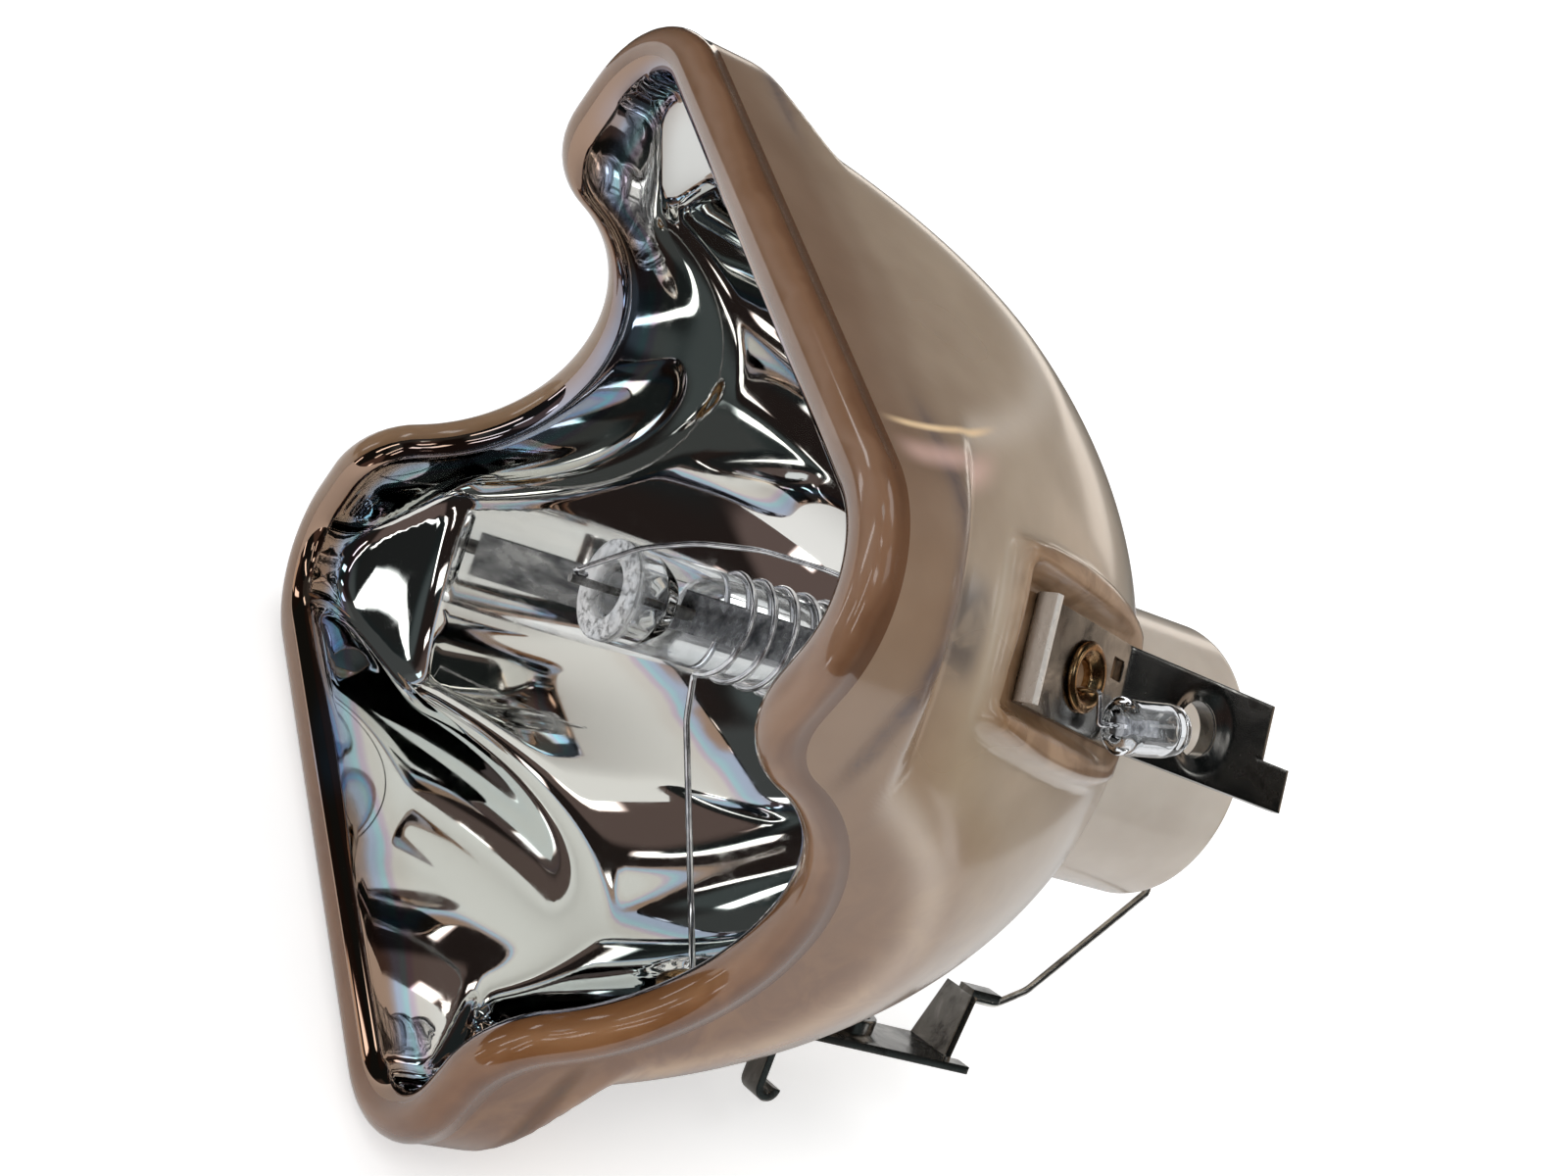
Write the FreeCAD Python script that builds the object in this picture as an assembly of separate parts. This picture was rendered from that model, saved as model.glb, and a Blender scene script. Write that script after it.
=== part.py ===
import FreeCAD, Part
import os
from math import atan, cos, pi, radians, sin, sqrt, tan

os.makedirs("parts", exist_ok=True)

Vec = FreeCAD.Vector
ORIGIN = Vec(0, 0, 0)
ACROSS = Vec(1, 0, 0)
AXIS = Vec(0, 1, 0)
UP = Vec(0, 0, 1)

# A short-arc projector lamp: a burner cemented in the neck of a pressed glass reflector.
# Frame: +Y is the optical axis from the mouth to the neck, +Z is up, and the origin is the
# middle of the mouth. The scalloped sides face +X and -X. Lengths in mm, angles in degrees.

# Mouth and rim
MOUTH_SIDE = 50.0
CORNER_RADIUS = 7.9
RIM_DIAMETER = 2.56
RIM_PROUD = 0.1
SCALLOP_DEPTH = 10.0
SCALLOP_HALF_WIDTH = 15.2
SCALLOP_SHOULDER_SHARE = 0.27

# Bowl glass: an ellipse turned about the axis, cut flat by the square of the mouth
BOWL_REACH = 43.4
BOWL_RADIUS = 28.8
BOWL_CENTRE = -4.85
WALL = 2.6
FLAT_WALL = 2.8
LUG_DEPTH = 4.4
LUG_FOOT = 7.4
POCKET_DEPTH = 2.5
POCKET_FOOT = 6.5

# Neck
NECK_RADIUS = 9.35
NECK_LENGTH = 12.3
NECK_ROUND = 0.5
NECK_BORE = 6.6

# Burner
STEM_RADIUS = 3.0
STEM_FRONT_REACH = 21.7
STEM_REAR_PROUD = 0.9
STEM_BORE = 1.7
BULB_RADIUS = 5.0
BULB_HALF_LENGTH = 6.0
CHAMBER_RADIUS = 2.3
CHAMBER_HALF_LENGTH = 3.4
ARC_GAP = 1.3
ROD_RADIUS = 0.25
HEAD_RADIUS = 0.65
HEAD_LENGTH = 1.9
HEAD_TURNS = 4
FOIL_LENGTH = 10.4
FOIL_WIDTH = 1.8
FOIL_THICKNESS = 0.1
FOIL_LAP = 1.0
FOIL_REACH = 17.2
PIN_FRONT_PROUD = 2.4
PIN_REAR_PROUD = 1.7
MERCURY_RADIUS = 0.6

# Antenna wire
COIL_WIRE_RADIUS = 0.2
COIL_PITCH = 1.65
COIL_TURNS = 5
COIL_TO_BULB = 1.05
KINK_RADIUS = 6.0
KINK_ADVANCE = 0.6

# Terminals: one stamping and its mirror image, laid out from the middle of the eyelet
SHEET = 0.5
STRIP_HALF_WIDTH = 2.86
SEAT_DEPTH = 20.2
SEAT_RISE = 0.28
SEAT_TILT = 18.8
LIP_REACH = 5.8
LIP_HEIGHT = 1.5
LIP_LEAN = 8.0
BEND_REACH = 4.35
SCREW_REACH = 11.2
SCREW_HOLE_RADIUS = 1.6
COLLAR_WALL = 0.5
COLLAR_DEPTH = 1.2
WINDOW_SIDE = 1.2
WINDOW_REACH = 3.4
WINDOW_ACROSS = 1.2
FLANGE_HEIGHT = 4.6
FLANGE_TAPER = 1.3
FLANGE_LEAN = 18.0

# Where each terminal stands round the axis and in its seat, and how its arm runs
SIDE_ANGLE = 45.6
SIDE_YAW = -2.3
SIDE_ARM_TILT = 2.4
SIDE_ARM_END = 16.8
SIDE_TAB_END = 19.0
SIDE_TAB_WIDTH = 2.53
LOWER_ANGLE = 147.0
LOWER_YAW = 3.5
LOWER_ARM_TILT = -0.5
LOWER_ARM_END = 19.2
LOWER_TAB_END = 19.9
LOWER_TAB_WIDTH = 1.36

# Lanced hook and ear of the lower terminal
HOOK_REACH = 6.2
HOOK_HEIGHT = 5.0
HOOK_HALF_WIDTH = 1.0
HOOK_CURL_RADIUS = 0.9
EAR_WIDTH = 1.6
EAR_LENGTH = 1.9

# Moulded seats under the terminals
SEAT_CLEARANCE = 0.35
RIB_WIDTH = 2.0
RIB_HEIGHT = 1.3
SEAT_FORE = 8.7
SEAT_AFT = 7.8

# Eyelets
EYELET_RADIUS = 1.2
EYELET_WALL = 0.4
FLANGE_RADIUS = 2.1
FLANGE_THICKNESS = 0.4
SPOT_FACE_DEPTH = 2.45
WIRE_INSET = 0.6

# Starter capsule
CAPSULE_RADIUS = 1.55
CAPSULE_BORE = 1.05
CAPSULE_LENGTH = 4.9
CAPSULE_REAR_REACH = 8.4
CAPSULE_FRONT_LIFT = 0.5
PINCH_RADIUS = 0.7
PINCH_LENGTH = 1.7
CAPSULE_SHIFT_FRONT = 2.1
CAPSULE_SHIFT_REAR = 0.75
CAPSULE_FOIL_LENGTH = 3.4
CAPSULE_FOIL_WIDTH = 0.9
CAPSULE_FOIL_THICKNESS = 0.1
CAPSULE_WIRE_RADIUS = 0.15
CAPSULE_WIRE_STUB = 0.9
CAPSULE_WIRE_RISE = 0.7

# Lead wires
FRONT_WIRE_RADIUS = 0.16
FRONT_WIRE_LAP = 1.0
FRONT_WIRE_SETBACK = 0.1
FRONT_WIRE_ARCH_SHARE = 0.136
FRONT_WIRE_CLEARANCE = 0.35
FRONT_WIRE_OVER = 0.03
REAR_WIRE_RADIUS = 0.26
REAR_WIRE_BEND = 1.2
REAR_WIRE_TURN_RADIUS = 8.4
REAR_WIRE_TURN_SHIFT = 2.4
REAR_WIRE_KNEE = 2.4
REAR_WIRE_KNEE_RISE = 1.4

# Gap left where one round piece lies against another
TOUCH = 0.01

HALF_MOUTH = MOUTH_SIDE / 2
RIM_RADIUS = RIM_DIAMETER / 2
RIM_LINE = HALF_MOUTH - RIM_RADIUS
FLAT_HALF = HALF_MOUTH - RIM_PROUD
INNER_HALF = FLAT_HALF - FLAT_WALL


def bowl_radius_at(depth, inset=0.0):
    """Radius of the bowl's ellipse, moved inward by inset, at a depth."""
    share = (depth - BOWL_CENTRE) / (BOWL_REACH - inset)
    return (BOWL_RADIUS - inset) * sqrt(1 - share**2)


def bowl_depth_at(radius, inset=0.0):
    """Depth at which the bowl's ellipse, moved inward by inset, has a radius."""
    share = radius / (BOWL_RADIUS - inset)
    return BOWL_CENTRE + (BOWL_REACH - inset) * sqrt(1 - share**2)


# The neck, the seats and the burner stand where the ellipse puts them: its focus holds the arc
NECK_END = bowl_depth_at(NECK_RADIUS) + NECK_LENGTH
SEAT_RADIUS = bowl_radius_at(SEAT_DEPTH) + SEAT_RISE
SEAT_FRONT = SEAT_DEPTH - SEAT_FORE
SEAT_REAR = SEAT_DEPTH + SEAT_AFT
ARC_DEPTH = BOWL_CENTRE + sqrt((BOWL_REACH - WALL) ** 2 - (BOWL_RADIUS - WALL) ** 2)
BULB_SPREAD = BULB_HALF_LENGTH * sqrt(1 - (STEM_RADIUS / BULB_RADIUS) ** 2)
STEM_FRONT = ARC_DEPTH - STEM_FRONT_REACH
STEM_REAR = NECK_END + STEM_REAR_PROUD
PIN_FRONT = STEM_FRONT - PIN_FRONT_PROUD
PIN_REAR = STEM_REAR + PIN_REAR_PROUD
COIL_START = ARC_DEPTH - BULB_SPREAD - COIL_TO_BULB - COIL_PITCH * COIL_TURNS
BEYOND = MOUTH_SIDE + NECK_END


def ellipse_arc(centre, reach, radius, first, last):
    """Arc of an ellipse about the axis between two of its points."""
    ellipse = Part.Ellipse(Vec(0, centre + reach, 0), Vec(radius, centre, 0), Vec(0, centre, 0))
    if radius > reach:
        ellipse = Part.Ellipse(Vec(radius, centre, 0), Vec(0, centre - reach, 0), Vec(0, centre, 0))
    bounds = sorted((ellipse.parameter(first), ellipse.parameter(last)))
    return Part.ArcOfEllipse(ellipse, *bounds).toShape()


def bowl_arc(first, last, inset=0.0):
    """Arc of the bowl's ellipse, moved inward by inset, between two of its points."""
    return ellipse_arc(BOWL_CENTRE, BOWL_REACH - inset, BOWL_RADIUS - inset, first, last)


def polyline(points):
    """Straight edges from point to point."""
    return [Part.makeLine(start, end) for start, end in zip(points, points[1:])]


def lathe(edges):
    """Solid turned about the axis from a closed outline of radius and depth."""
    outline = Part.Wire(Part.sortEdges(edges)[0])
    return Part.Face(outline).revolve(ORIGIN, AXIS, 360)


def turned(points):
    """Solid turned about the axis from the corners of its outline."""
    return lathe(polyline(points + points[:1]))


def rounded_square_prism(half, corner, start, end):
    """Square prism along the axis with rounded corners."""
    block = Part.makeBox(2 * half, end - start, 2 * half, Vec(-half, start, -half))
    corners = [edge for edge in block.Edges if abs(edge.tangentAt(edge.FirstParameter).y) > 0.9]
    return block.makeFillet(corner, corners)


def rod(start, end, radius):
    """Round rod from point to point."""
    return Part.makeCylinder(radius, (end - start).Length, start, end - start)


def bent_wire(points, radius, bend):
    """Round wire through the points, with each corner bent to a radius."""
    edges = []
    start = points[0]
    for before, corner, after in zip(points, points[1:], points[2:]):
        into = (corner - before).normalize()
        out = (after - corner).normalize()
        half_turn = into.getAngle(out) / 2
        trim = bend * tan(half_turn)
        first = corner - into * trim
        last = corner + out * trim
        inward = (out - into).normalize()
        middle = corner + inward * (bend / cos(half_turn) - bend)
        edges.append(Part.makeLine(start, first))
        edges.append(Part.Arc(first, middle, last).toShape())
        start = last
    edges.append(Part.makeLine(start, points[-1]))
    section = Part.Wire(Part.makeCircle(radius, points[0], points[1] - points[0]))
    return Part.Wire(edges).makePipeShell([section], True, False)


def scallop_arcs(x):
    """The three arcs of one scallop at a distance across, from its lower to its upper end."""
    turn = 2 * atan(SCALLOP_DEPTH / SCALLOP_HALF_WIDTH)
    radii = SCALLOP_HALF_WIDTH / sin(turn)
    shoulder = radii * SCALLOP_SHOULDER_SHARE

    def shoulder_arc(side):
        """Convex arc beside the rim at one end of the scallop."""
        points = []
        for angle in (0, turn / 2, turn):
            height = side * (SCALLOP_HALF_WIDTH - shoulder * sin(angle))
            points.append(Vec(x, shoulder * (1 - cos(angle)), height))
        return points

    lower = shoulder_arc(-1)
    upper = shoulder_arc(1)
    bottom = Vec(x, SCALLOP_DEPTH, 0)
    return [
        Part.Arc(*lower).toShape(),
        Part.Arc(lower[-1], bottom, upper[-1]).toShape(),
        Part.Arc(*reversed(upper)).toShape(),
    ]


def rim_edges():
    """Centre line of the rim: straight above and below, scalloped on both sides."""
    corner = CORNER_RADIUS - RIM_RADIUS
    straight = RIM_LINE - corner
    diagonal = straight + corner * sin(radians(45))
    edges = []
    for side in (-1, 1):
        ends = [Vec(side * RIM_LINE, 0, height) for height in (-straight, straight)]
        hollows = [Vec(side * RIM_LINE, 0, height) for height in (-SCALLOP_HALF_WIDTH, SCALLOP_HALF_WIDTH)]
        edges.append(Part.makeLine(ends[0], hollows[0]))
        edges.extend(scallop_arcs(side * RIM_LINE))
        edges.append(Part.makeLine(hollows[1], ends[1]))
        edges.append(Part.makeLine(Vec(-straight, 0, side * RIM_LINE), Vec(straight, 0, side * RIM_LINE)))
        for level in (-1, 1):
            flank = Vec(side * RIM_LINE, 0, level * straight)
            middle = Vec(side * diagonal, 0, level * diagonal)
            brow = Vec(side * straight, 0, level * RIM_LINE)
            edges.append(Part.Arc(flank, middle, brow).toShape())
    return edges


def bead_along(edge):
    """Round bead swept along one edge."""
    start = edge.valueAt(edge.FirstParameter)
    heading = edge.tangentAt(edge.FirstParameter)
    section = Part.Face(Part.Wire(Part.makeCircle(RIM_RADIUS, start, heading)))
    return Part.Wire(edge).makePipe(section)


def scallop_cutter():
    """Everything in front of the rim line between the two scalloped sides."""
    edges = scallop_arcs(-BEYOND)
    low = Vec(-BEYOND, 0, -SCALLOP_HALF_WIDTH)
    high = Vec(-BEYOND, 0, SCALLOP_HALF_WIDTH)
    ahead = Vec(0, -MOUTH_SIDE, 0)
    edges.extend(polyline([high, high + ahead, low + ahead, low]))
    face = Part.Face(Part.Wire(Part.sortEdges(edges)[0]))
    return face.extrude(Vec(2 * BEYOND, 0, 0))


SEAT_MIDDLE = Vec(0, SEAT_DEPTH, SEAT_RADIUS)


def leaning(angle):
    """Directions along and out of a sheet that falls toward the axis by an angle."""
    along = Vec(0, cos(radians(angle)), -sin(radians(angle)))
    return along, ACROSS.cross(along)


SEAT_ALONG, SEAT_NORMAL = leaning(SEAT_TILT)
BEND_MIDDLE = SEAT_MIDDLE + SEAT_ALONG * BEND_REACH


def seat_point(along, across=0.0, out=0.0):
    """Point on the seated part of an unplaced terminal, from the middle of its eyelet."""
    return SEAT_MIDDLE + SEAT_ALONG * along + ACROSS * across + SEAT_NORMAL * out


class Site:
    """One corner of the bowl and the shape of the terminal that it carries."""

    def __init__(self, angle, yaw, hand, arm_tilt, arm_end, tab_end, tab_width):
        self.round_axis = FreeCAD.Rotation(AXIS, angle)
        self.in_seat = FreeCAD.Rotation(SEAT_NORMAL, yaw)
        self.arm_along, self.arm_normal = leaning(arm_tilt)
        self.radial = self.round_axis.multVec(UP)
        self.hand = hand
        self.arm_end = arm_end
        self.tab_end = tab_end
        self.notch = tab_width - STRIP_HALF_WIDTH
        fall = radians(FLANGE_LEAN)
        flange_way = self.arm_along * sin(fall) - self.arm_normal * cos(fall)
        self.flange_top = self.arm_point(arm_end) + flange_way * FLANGE_HEIGHT

    def arm_point(self, along, across=0.0, out=0.0):
        """Point on the free arm, at a distance from the eyelet along the folded strip."""
        return BEND_MIDDLE + self.arm_along * (along - BEND_REACH) + ACROSS * across + self.arm_normal * out

    def put(self, item):
        """Copy of an unplaced solid, or an unplaced point, at this corner."""
        if isinstance(item, Vec):
            seated = SEAT_MIDDLE + self.in_seat.multVec(item - SEAT_MIDDLE)
            return self.round_axis.multVec(seated)
        seated = FreeCAD.Placement(ORIGIN, self.in_seat, SEAT_MIDDLE)
        placed = item.copy()
        placed.Placement = FreeCAD.Placement(ORIGIN, self.round_axis).multiply(seated).multiply(placed.Placement)
        return placed


SIDE = Site(SIDE_ANGLE, SIDE_YAW, -1, SIDE_ARM_TILT, SIDE_ARM_END, SIDE_TAB_END, SIDE_TAB_WIDTH)
LOWER = Site(LOWER_ANGLE, LOWER_YAW, 1, LOWER_ARM_TILT, LOWER_ARM_END, LOWER_TAB_END, LOWER_TAB_WIDTH)


def slab(half_width, first, last, floor, ceiling):
    """Block on the seat plane, from one distance along the strip to another."""
    block = Part.makeBox(2 * half_width, last - first, ceiling - floor)
    block.translate(Vec(-half_width, first, floor))
    block.rotate(ORIGIN, ACROSS, -SEAT_TILT)
    block.translate(SEAT_MIDDLE)
    return block


CHANNEL_HALF = STRIP_HALF_WIDTH + SEAT_CLEARANCE
SEAT_BLOCK_HALF = CHANNEL_HALF + RIB_WIDTH


def seat_ribs():
    """Raised pad whose two sides stand as ribs beside a terminal."""
    front = Vec(bowl_radius_at(SEAT_FRONT, -RIB_HEIGHT), SEAT_FRONT, 0)
    rear = Vec(bowl_radius_at(SEAT_REAR, -RIB_HEIGHT), SEAT_REAR, 0)
    centre_line = polyline([rear, Vec(0, SEAT_REAR, 0), Vec(0, SEAT_FRONT, 0), front])
    raised = lathe([bowl_arc(front, rear, -RIB_HEIGHT)] + centre_line)
    width = 2 * SEAT_BLOCK_HALF
    plan = Part.makeBox(width, SEAT_REAR - SEAT_FRONT, BOWL_RADIUS, Vec(-width / 2, SEAT_FRONT, WALL * 5))
    uprights = [edge for edge in plan.Edges if abs(edge.tangentAt(edge.FirstParameter).z) > 0.9]
    return raised.common(plan.makeFillet(RIB_WIDTH * 0.9, uprights))


def seat_channel():
    """Cut that leaves the flat seat between the ribs."""
    front = (SEAT_FRONT + RIB_WIDTH / 2 - SEAT_DEPTH) / cos(radians(SEAT_TILT))
    return slab(CHANNEL_HALF, front, BEYOND, -SHEET, MOUTH_SIDE)


def eyelet_bore():
    """Hole through the glass for an eyelet, with a flat for its inner flange."""
    bore = rod(seat_point(0, 0, 1), seat_point(0, 0, -WALL * 3), EYELET_RADIUS)
    spot = rod(seat_point(0, 0, -SPOT_FACE_DEPTH), seat_point(0, 0, -WALL * 3), FLANGE_RADIUS + 0.15)
    return bore.fuse(spot)


def glass_blank():
    """Outer form of the reflector: bowl, corner lugs, flats and neck in one."""
    reach = (HALF_MOUTH - CORNER_RADIUS) * sqrt(2) + CORNER_RADIUS
    foot = Vec(bowl_radius_at(LUG_FOOT), LUG_FOOT, 0)
    slope = (LUG_FOOT - LUG_DEPTH) / (reach - foot.x)
    lug_edge = Vec(reach + 1, LUG_DEPTH - slope, 0)
    joint = Vec(NECK_RADIUS, bowl_depth_at(NECK_RADIUS), 0)
    edges = polyline([ORIGIN, Vec(lug_edge.x, 0, 0), lug_edge, foot])
    edges.append(bowl_arc(foot, joint))
    neck = [
        joint,
        Vec(NECK_RADIUS, NECK_END - NECK_ROUND, 0),
        Vec(NECK_RADIUS - NECK_ROUND, NECK_END, 0),
        Vec(0, NECK_END, 0),
        ORIGIN,
    ]
    edges.extend(polyline(neck))
    return lathe(edges).common(rounded_square_prism(FLAT_HALF, CORNER_RADIUS, -1, BEYOND + 1))


def bowl_cavity():
    """Hollow of the bowl with its corner pockets, and the bore of the neck."""
    pocket_foot = Vec(bowl_radius_at(POCKET_FOOT, WALL), POCKET_FOOT, 0)
    bore = Vec(NECK_BORE, bowl_depth_at(NECK_BORE, WALL), 0)
    edges = polyline([Vec(0, -1, 0), Vec(HALF_MOUTH * 1.3, -1, 0), Vec(HALF_MOUTH * 1.3, POCKET_DEPTH, 0)])
    pocket = Vec(BOWL_RADIUS, POCKET_DEPTH, 0)
    edges.extend(polyline([Vec(HALF_MOUTH * 1.3, POCKET_DEPTH, 0), pocket, pocket_foot]))
    edges.append(bowl_arc(pocket_foot, bore, WALL))
    edges.extend(polyline([bore, Vec(0, bore.y, 0), Vec(0, -1, 0)]))
    prism = rounded_square_prism(INNER_HALF, CORNER_RADIUS - FLAT_WALL, -2, BEYOND)
    hollow = lathe(edges).common(prism)
    return hollow.fuse(rod(Vec(0, bore.y - 1, 0), Vec(0, NECK_END + 1, 0), NECK_BORE))


def make_reflector():
    """The whole pressed glass reflector."""
    blank = glass_blank().fuse([SIDE.put(seat_ribs()), LOWER.put(seat_ribs())])
    glass = blank.cut(bowl_cavity())
    cutters = [scallop_cutter()]
    for site in (SIDE, LOWER):
        cutters.append(site.put(seat_channel()))
        cutters.append(site.put(eyelet_bore()))
    glass = glass.cut(cutters)
    return glass.fuse([bead_along(edge) for edge in rim_edges()]).removeSplitter()


FOIL_OFFSET = ROD_RADIUS + FOIL_THICKNESS / 2
TIP_OFFSET = ARC_GAP / 2


def seal_depth(side, distance):
    """Depth at a distance from the arc, in front of it for side -1 and behind it for side 1."""
    return ARC_DEPTH + side * distance


def between(side, near, far):
    """The two depths of a piece that starts and ends at distances from the arc."""
    return sorted((seal_depth(side, near), seal_depth(side, far)))


FOIL_NEAR = FOIL_REACH - FOIL_LENGTH


def make_foil(side):
    """Sealing foil beside the axis, lapped by the rod at one end and the pin at the other."""
    start, end = between(side, FOIL_NEAR, FOIL_REACH)
    corner = Vec(-FOIL_OFFSET - FOIL_THICKNESS / 2, start, -FOIL_WIDTH / 2)
    return Part.makeBox(FOIL_THICKNESS, end - start, FOIL_WIDTH, corner)


def make_electrode(side):
    """Tungsten rod with its wound and melted head."""
    tip = TIP_OFFSET
    profile = [Vec(0, tip, 0), Vec(ROD_RADIUS, tip, 0)]
    pitch = (HEAD_LENGTH - HEAD_RADIUS) / HEAD_TURNS
    shoulder = tip + HEAD_RADIUS * 0.8
    profile.append(Vec(HEAD_RADIUS, shoulder, 0))
    for turn in range(HEAD_TURNS):
        start = shoulder + turn * pitch
        profile.append(Vec(HEAD_RADIUS, start + pitch * 0.7, 0))
        profile.append(Vec(HEAD_RADIUS * 0.85, start + pitch * 0.85, 0))
        profile.append(Vec(HEAD_RADIUS, start + pitch, 0))
    tail = FOIL_NEAR + FOIL_LAP
    profile.append(Vec(ROD_RADIUS, profile[-1].y + 0.15, 0))
    profile.append(Vec(ROD_RADIUS, tail, 0))
    profile.append(Vec(0, tail, 0))
    electrode = turned(profile)
    if side < 0:
        electrode.rotate(ORIGIN, UP, 180)
    electrode.translate(Vec(0, ARC_DEPTH, 0))
    return electrode


def make_pin(side):
    """Lead pin from the far end of a foil out of the stem."""
    inner = seal_depth(side, FOIL_REACH - FOIL_LAP)
    outer = PIN_FRONT if side < 0 else PIN_REAR
    return rod(Vec(0, inner, 0), Vec(0, outer, 0), ROD_RADIUS)


def make_burner(inserts):
    """Fused tube with its bulb and arc chamber, closed round the pieces sealed in it."""
    front = Vec(STEM_RADIUS, ARC_DEPTH - BULB_SPREAD, 0)
    crown = Vec(BULB_RADIUS, ARC_DEPTH, 0)
    rear = Vec(STEM_RADIUS, ARC_DEPTH + BULB_SPREAD, 0)
    edges = polyline([Vec(0, STEM_FRONT, 0), Vec(STEM_RADIUS, STEM_FRONT, 0), front])
    edges.append(ellipse_arc(ARC_DEPTH, BULB_HALF_LENGTH, BULB_RADIUS, front, crown))
    edges.append(ellipse_arc(ARC_DEPTH, BULB_HALF_LENGTH, BULB_RADIUS, crown, rear))
    edges.extend(polyline([rear, Vec(STEM_RADIUS, STEM_REAR, 0), Vec(0, STEM_REAR, 0), Vec(0, STEM_FRONT, 0)]))
    tube = lathe(edges)
    fore = Vec(0, ARC_DEPTH - CHAMBER_HALF_LENGTH, 0)
    aft = Vec(0, ARC_DEPTH + CHAMBER_HALF_LENGTH, 0)
    waist = Vec(CHAMBER_RADIUS, ARC_DEPTH, 0)
    arcs = [ellipse_arc(ARC_DEPTH, CHAMBER_HALF_LENGTH, CHAMBER_RADIUS, *ends) for ends in ((fore, waist), (waist, aft))]
    chamber = lathe(arcs + [Part.makeLine(aft, fore)])
    bored = FOIL_REACH + STEM_BORE / 2
    bores = [
        rod(Vec(0, STEM_FRONT - 1, 0), Vec(0, ARC_DEPTH - bored, 0), STEM_BORE),
        rod(Vec(0, ARC_DEPTH + bored, 0), Vec(0, STEM_REAR + 1, 0), STEM_BORE),
    ]
    return tube.cut([chamber] + bores + inserts)


def make_mercury():
    """Bead of mercury at rest on the lower wall of the arc chamber."""
    return Part.makeSphere(MERCURY_RADIUS, Vec(0, ARC_DEPTH, MERCURY_RADIUS - CHAMBER_RADIUS))


def make_cement():
    """Cement between the rear stem and the bore of the neck."""
    start = bowl_depth_at(NECK_BORE, WALL)
    collar = [
        Vec(STEM_RADIUS, start, 0),
        Vec(NECK_BORE, start, 0),
        Vec(NECK_BORE, NECK_END, 0),
        Vec(STEM_RADIUS, NECK_END, 0),
    ]
    return turned(collar)


def eyelet_entry(shift):
    """Points of a wire that runs into an eyelet from inside the bowl, against one side of its bore."""
    mouth = seat_point(0, shift, -SPOT_FACE_DEPTH - FLANGE_THICKNESS - WIRE_INSET)
    inside = seat_point(0, shift, -SPOT_FACE_DEPTH + WIRE_INSET)
    return [mouth, inside]


def make_antenna_wire():
    """Wire coiled round the front stem, which then runs in one length to the lower eyelet."""
    coil_radius = STEM_RADIUS + COIL_WIRE_RADIUS + TOUCH
    helix = Part.makeHelix(COIL_PITCH, COIL_PITCH * COIL_TURNS, coil_radius)
    first = helix.Edges[0]
    start = first.valueAt(first.FirstParameter)
    heading = first.tangentAt(first.FirstParameter)
    section = Part.Wire(Part.makeCircle(COIL_WIRE_RADIUS, start, heading))
    coil = Part.Wire(helix).makePipeShell([section], True, True)
    coil.rotate(ORIGIN, ACROSS, -90)
    coil.translate(AXIS * COIL_START)
    coil.rotate(ORIGIN, AXIS, LOWER_ANGLE - 90)
    shift = COIL_WIRE_RADIUS + EYELET_WALL - EYELET_RADIUS
    leave = LOWER.radial * coil_radius + AXIS * COIL_START
    kink = LOWER.radial * KINK_RADIUS + AXIS * (COIL_START + KINK_ADVANCE)
    entry = [LOWER.put(point) for point in eyelet_entry(shift)]
    lead = bent_wire([leave, kink] + entry, COIL_WIRE_RADIUS, 3 * COIL_WIRE_RADIUS)
    knee = Part.makeSphere(COIL_WIRE_RADIUS, leave)
    return coil.fuse([knee, lead])


def make_eyelet():
    """Tubular rivet clamped on the terminal outside and on the glass inside."""
    bore = EYELET_RADIUS - EYELET_WALL
    outer = seat_point(0, 0, FLANGE_THICKNESS)
    inner = seat_point(0, 0, -SPOT_FACE_DEPTH - FLANGE_THICKNESS)
    body = rod(outer, inner, EYELET_RADIUS)
    for end, seat in ((outer, seat_point(0)), (inner, seat_point(0, 0, -SPOT_FACE_DEPTH))):
        flange = rod(seat, end, FLANGE_RADIUS)
        brim = [edge for edge in flange.Edges if edge.Closed and edge.CenterOfMass.isEqual(end, 0.01)]
        body = body.fuse(flange.makeFillet(FLANGE_THICKNESS * 0.7, brim))
    return body.cut(rod(seat_point(0, 0, 1), seat_point(0, 0, -WALL * 2), bore))


def folded_strip(corners, start, end):
    """Sheet folded along lines across the strip, given the corners of its outer face."""
    headings = [(after - before).normalize() for before, after in zip(corners, corners[1:])]
    normals = [ACROSS.cross(heading) for heading in headings]
    under = []
    for corner, before, after in zip(corners, normals[:1] + normals, normals + normals[-1:]):
        middle = (before + after).normalize()
        under.append(corner - middle * (SHEET / middle.dot(before)))
    outline = Part.Face(Part.makePolygon(corners + under[::-1] + corners[:1]))
    outline.translate(ACROSS * start)
    return outline.extrude(ACROSS * (end - start))


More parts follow.
